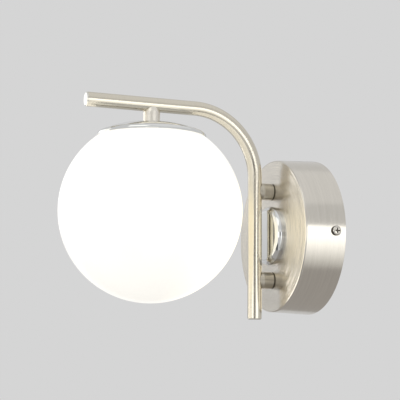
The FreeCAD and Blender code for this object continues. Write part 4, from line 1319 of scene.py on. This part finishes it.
@dataclass
class Lampholder:
    """The two moulded halves of the lampholder and the threaded shell inside."""

    wall: float = 1.8
    shoulder: float = 5.0
    spigot: float = 6.0
    spigot_gap: float = 0.1
    mouth: float = 9.2
    insulator: float = 2.5
    rib_depth: float = 0.8
    rib_pitch: float = 4.0
    ribs: int = 3
    start_drop: float = 6.0
    shell_bore: float = 7.03
    shell_sheet: float = 0.5
    thread_pitch: float = 2.82
    thread_depth: float = 0.5
    thread_below_top: float = 0.9

    def __post_init__(self) -> None:
        """Read the halves' envelopes."""
        self.cap, self.skirt = Envelope.of("lampholder_cap"), Envelope.of("lampholder_skirt")
        self.radius = self.cap.radius
        self.inner = self.radius - self.wall
        self.axis = self.cap.upright

    def domed_half(self) -> None:
        """Turn the upper half, with its rounded shoulder."""
        top, joint, under = self.cap.top, self.cap.foot, self.cap.top - self.wall
        corners = [(0, top), (self.radius, top), (self.radius, joint), (self.inner, joint),
                   (self.inner, under), (0, under)]
        section = eased(corners, [self.shoulder, 0.35, 0.2, self.shoulder - self.wall], 1.5)
        Skin().add(turned(section, self.axis)).build(
            "lampholder_cap_moulded", "fixture", HOLDER, "lampholder_cap")

    def ribbed_half(self) -> None:
        """Turn the skirt: its spigot in the upper half, and the ribs for the fingers."""
        foot, joint, radius = self.skirt.foot, self.cap.foot, self.radius
        spigot = self.inner - self.spigot_gap
        chamber, floor, top = spigot - self.wall, joint - self.insulator, joint + self.spigot
        middle = (joint + floor) / 2 - self.start_drop
        corners = [(self.mouth, middle), (self.mouth, floor), (chamber, floor), (chamber, top), (spigot, top),
                   (spigot, joint), (radius, joint)]
        radii = [0.0, 0.0, 0.3, 0.3, 0.0, 0.35]
        for step in reversed(range(self.ribs)):
            low = foot + self.rib_pitch * (step + 0.5)
            high, groove = low + self.rib_pitch / 2, radius - self.rib_depth
            corners += [(radius, high), (groove, high), (groove, low), (radius, low)]
            radii += [0.3, 0.2, 0.2, 0.3]
        corners += [(radius, foot), (self.mouth, foot), (self.mouth, middle)]
        section = eased(corners, [*radii, 0.6, 0.5], 1.5, steps=6, loop=True)
        Skin().add(turned(section, self.axis), True).build(
            "lampholder_skirt_moulded", "fixture", HOLDER, "lampholder_skirt")

    def shell(self) -> None:
        """Roll the round thread into the socket's thin shell, inside and out."""
        box, bore = Envelope.of("lampholder_shell"), self.shell_bore
        outer, rim = bore + self.shell_sheet, box.top - self.shell_sheet
        corners = [(bore, box.level), (bore, box.foot), (outer, box.foot), (outer, rim), (box.radius, rim),
                   (box.radius, box.top), (bore, box.top), (bore, box.level)]
        section = eased(corners, [0.1, 0.1, 0.0, 0.0, 0.0, 0.0], 0.3, steps=5, loop=True)
        rolled = Thread(self.thread_pitch, -self.thread_depth, box.foot, box.top - self.thread_below_top,
                        ThreadForm.ROUND)
        Skin().add(turned(section, self.axis, rolled, 96), True).build(
            "socket_shell_rolled", "fixture", SOCKET_METAL, "lampholder_shell", sharp=50.0)

    def build(self) -> None:
        """Make every piece of the lampholder."""
        self.domed_half()
        self.ribbed_half()
        self.shell()


@dataclass
class Globe:
    """The blown opal globe and the threaded ring bonded into its mouth."""

    wall: float = 2.6
    mouth: float = 33.18
    lip_edge: float = 0.6
    ring_wall: float = 2.9
    flange: float = 3.8
    flange_thickness: float = 1.0
    thread_pitch: float = 2.4
    thread_depth: float = 0.45
    thread_inset: float = 0.4
    outside_rows: int = 120
    inside_rows: int = 90

    def __post_init__(self) -> None:
        """Read the globe's envelope."""
        self.box = Envelope.of("globe_glass")
        self.axis = self.box.upright

    def glass(self) -> None:
        """Turn the globe: a ball outside, the fire-rounded mouth, and a ball inside."""
        radius, inner = self.box.radius, self.box.radius - self.wall
        centre = self.box.foot + radius
        reach = math.asin((self.box.top - centre) / radius)
        outside = ball_run(centre, radius, -math.pi / 2, reach, self.outside_rows)
        inside = ball_run(centre, inner, math.acos(self.mouth / inner), -math.pi / 2, self.inside_rows)
        corners = [*outside, (self.mouth, self.box.top), *inside[1:]]
        radii = [0.0] * (len(corners) - 2)
        radii[self.outside_rows - 2] = self.lip_edge
        Skin().add(turned(rounded(corners, radii), self.axis, columns=224)).build(
            "globe_opal", "globe", OPAL, "globe_glass", sharp=60.0)

    def ring(self) -> None:
        """Turn the ring and cut its inside thread."""
        box = Envelope.of("globe_ring")
        mouth, outer = box.top - self.flange_thickness, box.radius - self.flange
        bore = outer - self.ring_wall
        corners = [(bore, box.level), (bore, box.foot), (outer, box.foot), (outer, mouth),
                   (box.radius, mouth), (box.radius, box.top), (bore, box.top), (bore, box.level)]
        section = eased(corners, [0.3, 0.3, 0.0, 0.2, 0.2, 0.3], 0.3, steps=6, loop=True)
        thread = Thread(self.thread_pitch, -self.thread_depth, box.foot + self.thread_inset,
                        box.top - self.thread_inset, ThreadForm.ROUND)
        grid = turned(section, self.axis, thread, cut=section[:, 0] < bore + ON_WALL)
        Skin().add(grid, True).build("globe_ring_threaded", "globe", ALUMINIUM, "globe_ring", sharp=50.0)

    def build(self) -> None:
        """Make every piece of the globe."""
        self.glass()
        self.ring()


@dataclass
class Lamp:
    """The small screw lamp: contact, threaded shell, moulded collar and opal ball."""

    thread_pitch: float = 2.82
    thread_depth: float = 0.75
    thread_above_foot: float = 1.4
    thread_below_top: float = 0.2
    cone_radius: float = 2.4
    cone_drop: float = 1.1
    button_radius: float = 1.9
    button_foot_radius: float = 2.3
    button_height: float = 1.25
    collar_radius: float = 8.3
    collar_length: float = 5.0
    joint_radius: float = 17.0
    ball_wall: float = 1.0
    outside_rows: int = 64
    inside_rows: int = 48
    swell: float = 2.0
    swell_rows: int = 28

    def __post_init__(self) -> None:
        """Read where the lamp's axis stands."""
        self.axis = Envelope.of("lamp_shell").upright

    def tip(self) -> None:
        """Turn the solder contact on its black glass cone."""
        box = Envelope.of("lamp_tip")
        base, button = box.top - self.cone_drop, box.top - self.button_height
        cone = eased([(0, base), (self.cone_radius, base), (box.radius, box.foot), (0, box.foot)],
                     [0.2, 0.3], 0.6)
        contact = eased([(0, box.top), (self.button_radius, box.top), (self.button_foot_radius, button),
                         (0, button)], [0.5, 0.0], 0.4)
        Skin().add(turned(cone, self.axis, columns=64)).build(
            "lamp_tip_cone", "lamp", TIP_GLASS, "lamp_tip")
        Skin().add(turned(contact, self.axis, columns=64)).build(
            "lamp_tip_contact", "lamp", LAMP_METAL)

    def shell(self) -> None:
        """Roll the round thread into the lamp's shell."""
        box = Envelope.of("lamp_shell")
        corners = [(0, box.top), (box.radius, box.top), (box.radius, box.foot), (0, box.foot)]
        section = eased(corners, [0.8, 0.0], 0.22)
        thread = Thread(self.thread_pitch, self.thread_depth, box.foot + self.thread_above_foot,
                        box.top - self.thread_below_top, ThreadForm.ROUND)
        grid = turned(section, self.axis, thread, 96, section[:, 0] > box.radius - ON_WALL)
        Skin().add(grid).build("lamp_shell_rolled", "lamp", LAMP_METAL, "lamp_shell", sharp=50.0)

    def body(self) -> None:
        """Turn the moulded collar: a short sleeve that swells out to the ball."""
        box = Envelope.of("lamp_body")
        step = box.top - self.collar_length
        middle = ((self.collar_radius + self.joint_radius + self.swell) / 2,
                  (step + box.foot) / 2 - self.swell)
        flare = arc_through((self.joint_radius, box.foot), middle, (self.collar_radius, step),
                            self.swell_rows)
        corners = [(0, box.foot), *flare, (self.collar_radius, box.top), (0, box.top)]
        section = eased(corners, [0.4] + [0.0] * (self.swell_rows - 1) + [0.5], 1.2)
        Skin().add(turned(section, self.axis)).build("lamp_collar", "lamp", LAMP_PLASTIC, "lamp_body")

    def ball(self) -> None:
        """Turn the opal ball with its thin wall."""
        box = Envelope.of("lamp_ball")
        centre, inner = box.foot + box.radius, box.radius - self.ball_wall
        rise = box.top - centre
        outside = ball_run(centre, box.radius, -math.pi / 2, math.asin(rise / box.radius), self.outside_rows)
        inside = ball_run(centre, inner, math.asin(rise / inner), -math.pi / 2, self.inside_rows)
        Skin().add(turned(np.concatenate([outside, inside]), self.axis)).build(
            "lamp_ball_opal", "lamp", LAMP_OPAL, "lamp_ball")

    def build(self) -> None:
        """Make every piece of the lamp."""
        self.tip()
        self.shell()
        self.body()
        self.ball()


@dataclass
class Fittings:
    """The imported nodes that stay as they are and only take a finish."""

    finishes: tuple[tuple[Finish, tuple[str, ...]], ...] = (
        (ZINC, ("wall_bracket", "block_screws", "terminal_screws", "cover_washer", "cover_nut",
                "post_washers", "post_nuts", "cap_washer", "cap_nut")),
        (BRASS, ("earth_screw", "earth_washer", "terminal_sleeves", "lampholder_contact")),
        (NYLON, ("terminal_block",)),
        (CERAMIC, ("lampholder_insulator",)),
        (SLEEVE, ("lamp_lead",)),
        (SILICONE, ("globe_gasket",)),
    )

    def build(self) -> None:
        """Give each node its finish."""
        for finish, nodes in self.finishes:
            for node in nodes:
                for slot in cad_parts[node].material_slots:
                    slot.material = material_of(finish)
                LOG.info("%s dressed as %s", node, finish.name)


# Studio


def facing(azimuth: float, elevation: float) -> Vector:
    """Return the direction from the lamp at an azimuth and an elevation in degrees."""
    a, e = math.radians(azimuth), math.radians(elevation)
    return Vector((math.sin(a) * math.cos(e), -math.cos(a) * math.cos(e), math.sin(e)))


@dataclass(frozen=True)
class Panel:
    """A softbox or a glowing card, seen from the lamp at an azimuth and an elevation in degrees.

    The radiance of a card may fade to another, low, toward its foot.
    """

    name: str
    azimuth: float
    elevation: float
    distance: float
    width: float
    height: float
    radiance: tuple[float, float, float]
    low: Optional[tuple[float, float, float]] = None

    def stand(self, thing: bpy.types.Object, target: Vector) -> None:
        """Place the panel's object and turn it to the target.

        Args:
            thing: The lamp or the card.
            target: The point that it faces.
        """
        back = facing(self.azimuth, self.elevation)
        thing.location = target + back * self.distance
        thing.rotation_euler = back.to_track_quat("Z", "Y").to_euler()
        thing.visible_camera = False


def flat_face(name: str, width: float, height: float, level: float = 0.0) -> bpy.types.Mesh:
    """Make one flat face about the origin.

    Args:
        name: The mesh's name.
        width: Size along X, in metres.
        height: Size along Y.
        level: Height of the face.

    Returns:
        The mesh.
    """
    corners = np.array([[-1, -1, 0], [1, -1, 0], [1, 1, 0], [-1, 1, 0]], float)
    return mesh_of(name, corners * (width / 2, height / 2, 0) + (0, 0, level), np.array([[0, 1, 2, 3]]))


@dataclass
class Studio:
    """Camera, plain floor and soft light; grey is the tone of the plain backdrop."""

    grey: float = 0.665
    floor_level: float = -0.9
    floor_reach: float = 4.0
    floor_albedo: float = 0.8
    floor_glow: float = 0.7
    light_target: tuple[float, float, float] = (0.0, -0.06, 0.02)
    camera_bearing: float = 67.8
    camera_elevation: float = -7.169
    camera_roll: float = 0.406
    camera_lens: float = 108.70
    camera_sensor: float = 36.0
    camera_distance: float = 1.0001
    camera_clip: float = 0.01
    camera_target: tuple[float, float, float] = (0.0, -0.100884, 0.027323)
    softboxes: tuple[Panel, ...] = (
        Panel("softbox_right", 100.0, 12.0, 1.3, 0.8, 1.0, (0.55, 0.55, 0.54)),
        Panel("softbox_front", -4.0, 6.0, 1.5, 2.4, 1.2, (0.36, 0.35, 0.33)),
        Panel("softbox_left", -72.0, 8.0, 1.5, 0.8, 1.0, (0.3, 0.3, 0.3)),
        Panel("softbox_top", 20.0, 78.0, 1.4, 1.3, 1.3, (0.3, 0.3, 0.3)),
    )
    cards: tuple[Panel, ...] = (
        Panel("card_right", 105.0, -22.0, 1.0, 0.72, 1.27, (2.0, 2.0, 1.96), (0.40, 0.39, 0.37)),
        Panel("card_front", -18.0, 1.5, 1.45, 2.2, 0.42, (1.3, 1.26, 1.17)),
        Panel("card_front_left", -43.0, 18.0, 1.3, 0.86, 0.5, (1.3, 1.27, 1.18)),
        Panel("card_window", 34.0, 1.5, 1.3, 0.6, 0.37, (1.9, 1.88, 1.80)),
        Panel("card_front_low", -25.0, -38.0, 0.9, 1.1, 0.6, (1.3, 1.25, 1.12)),
        Panel("card_front_high", 35.0, 45.0, 1.2, 0.7, 0.6, (1.3, 1.3, 1.25)),
        Panel("card_low_left", -42.0, -15.0, 1.0, 0.60, 0.26, (3.4, 3.3, 3.15)),
        Panel("card_low_dark", 22.0, -42.0, 0.8, 0.5, 0.45, (0.12, 0.12, 0.12)),
        Panel("card_left", -76.0, 4.5, 1.6, 1.1, 0.55, (0.91, 0.91, 0.91), (0.50, 0.50, 0.50)),
        Panel("card_far", -115.0, 8.0, 1.3, 0.6, 0.46, (0.34, 0.34, 0.35)),
        Panel("card_top", 130.0, 68.0, 1.1, 1.5, 1.2, (0.79, 0.79, 0.79)),
        Panel("card_below", -110.0, -78.0, 0.42, 1.3, 0.8, (0.40, 0.385, 0.37)),
        Panel("card_camera", 67.8, 3.5, 1.15, 0.36, 0.28, (0.12, 0.12, 0.12)),
        Panel("card_neck", 67.8, 15.0, 1.15, 0.5, 0.165, (0.95, 0.94, 0.90)),
        Panel("card_tip", -45.6, 20.1, 0.414, 0.17, 0.13, (1.5, 1.5, 1.5)),
    )

    def camera(self) -> None:
        """Set the camera as it was fitted to the photograph: bearing, height, roll and lens."""
        back = facing(self.camera_bearing, self.camera_elevation)
        right = facing(self.camera_bearing + 90, 0.0)
        up = back.cross(right)
        roll = math.radians(self.camera_roll)
        turned_right = right * math.cos(roll) + up * math.sin(roll)
        turned_up = up * math.cos(roll) - right * math.sin(roll)
        lens = bpy.data.cameras.new("camera")
        lens.lens, lens.sensor_width = self.camera_lens, self.camera_sensor
        lens.clip_start = self.camera_clip
        thing = placed("camera", lens)
        axes = Matrix((turned_right, turned_up, back)).transposed().to_4x4()
        place = Vector(self.camera_target) + back * self.camera_distance
        thing.matrix_world = Matrix.Translation(place) @ axes
        bpy.context.scene.camera = thing

    def seen(self, graph: Graph) -> Term:
        """Find the rays that see the plain backdrop.

        Args:
            graph: The floor's graph.

        Returns:
            1 for camera, glossy and transmission rays, 0 for the others.
        """
        path = graph.node("ShaderNodeLightPath").outputs
        camera, glossy, through = (Term(graph, path[label]) for label in (
            "Is Camera Ray", "Is Glossy Ray", "Is Transmission Ray"))
        return camera.math("MAXIMUM", glossy).math("MAXIMUM", through)

    def floor(self) -> None:
        """Lay the plain floor well below the lamp; it keeps part of the shadow that falls on it."""
        graph = Graph("floor_grey")
        seen = self.seen(graph)
        plain = graph.node("ShaderNodeEmission", None, {"Color": (*[self.grey] * 3, 1.0)})
        lit = graph.node("ShaderNodeBsdfDiffuse", None, {"Color": (*[self.floor_albedo] * 3, 1.0)})
        mixed = graph.node("ShaderNodeMixShader", None,
                           {0: seen * self.floor_glow, 1: lit.outputs[0], 2: plain.outputs[0]})
        mesh = flat_face("floor", 2 * self.floor_reach, 2 * self.floor_reach, self.floor_level)
        mesh.materials.append(graph.surface(mixed.outputs[0]))
        placed("floor", mesh)

    def light(self, target: Vector) -> None:
        """Set the even grey world and the softboxes, which only the matt surfaces see.

        A softbox of radiance L and area A takes a power of pi * A * L.

        Args:
            target: The point that the softboxes face.
        """
        world = bpy.data.worlds.new("studio")
        bpy.context.scene.world = world
        world.use_nodes = True
        shade = world.node_tree.nodes["Background"]
        shade.inputs["Color"].default_value = (*[self.grey] * 3, 1.0)
        for panel in self.softboxes:
            lamp = bpy.data.lights.new(panel.name, "AREA")
            lamp.shape = "RECTANGLE"
            lamp.size, lamp.size_y = panel.width, panel.height
            peak = max(panel.radiance)
            lamp.color = [part / peak for part in panel.radiance]
            lamp.energy = math.pi * panel.width * panel.height * peak
            thing = placed(panel.name, lamp)
            panel.stand(thing, target)
            thing.visible_glossy = False

    def mirror(self, target: Vector) -> None:
        """Stand the glowing cards that only the polished surfaces see.

        Args:
            target: The point that the cards face.
        """
        for panel in self.cards:
            graph = Graph(panel.name)
            rise = graph.parts(graph.place())[1].ramp(-panel.height / 2, panel.height / 2)
            colour = graph.tinted(rise, panel.low or panel.radiance, panel.radiance)
            shader = graph.node("ShaderNodeEmission", None, {"Color": colour})
            mesh = flat_face(panel.name, panel.width, panel.height)
            mesh.materials.append(graph.surface(shader.outputs[0]))
            card = placed(panel.name, mesh)
            panel.stand(card, target)
            card.visible_diffuse = card.visible_shadow = False

    def build(self) -> None:
        """Set up the whole studio."""
        self.camera()
        self.floor()
        target = Vector(self.light_target)
        self.light(target)
        self.mirror(target)
        bpy.context.scene.view_settings.view_transform = "Standard"


def main() -> None:
    """Build the studio and every sub-assembly in order."""
    logging.basicConfig(level=logging.INFO, format="%(message)s")
    for part in (Studio(), Canopy(), Arm(), GlobeCap(), Lampholder(), Globe(), Lamp(), Fittings()):
        part.build()
        LOG.info("%s done", type(part).__name__)


if __name__ == "__main__":
    main()
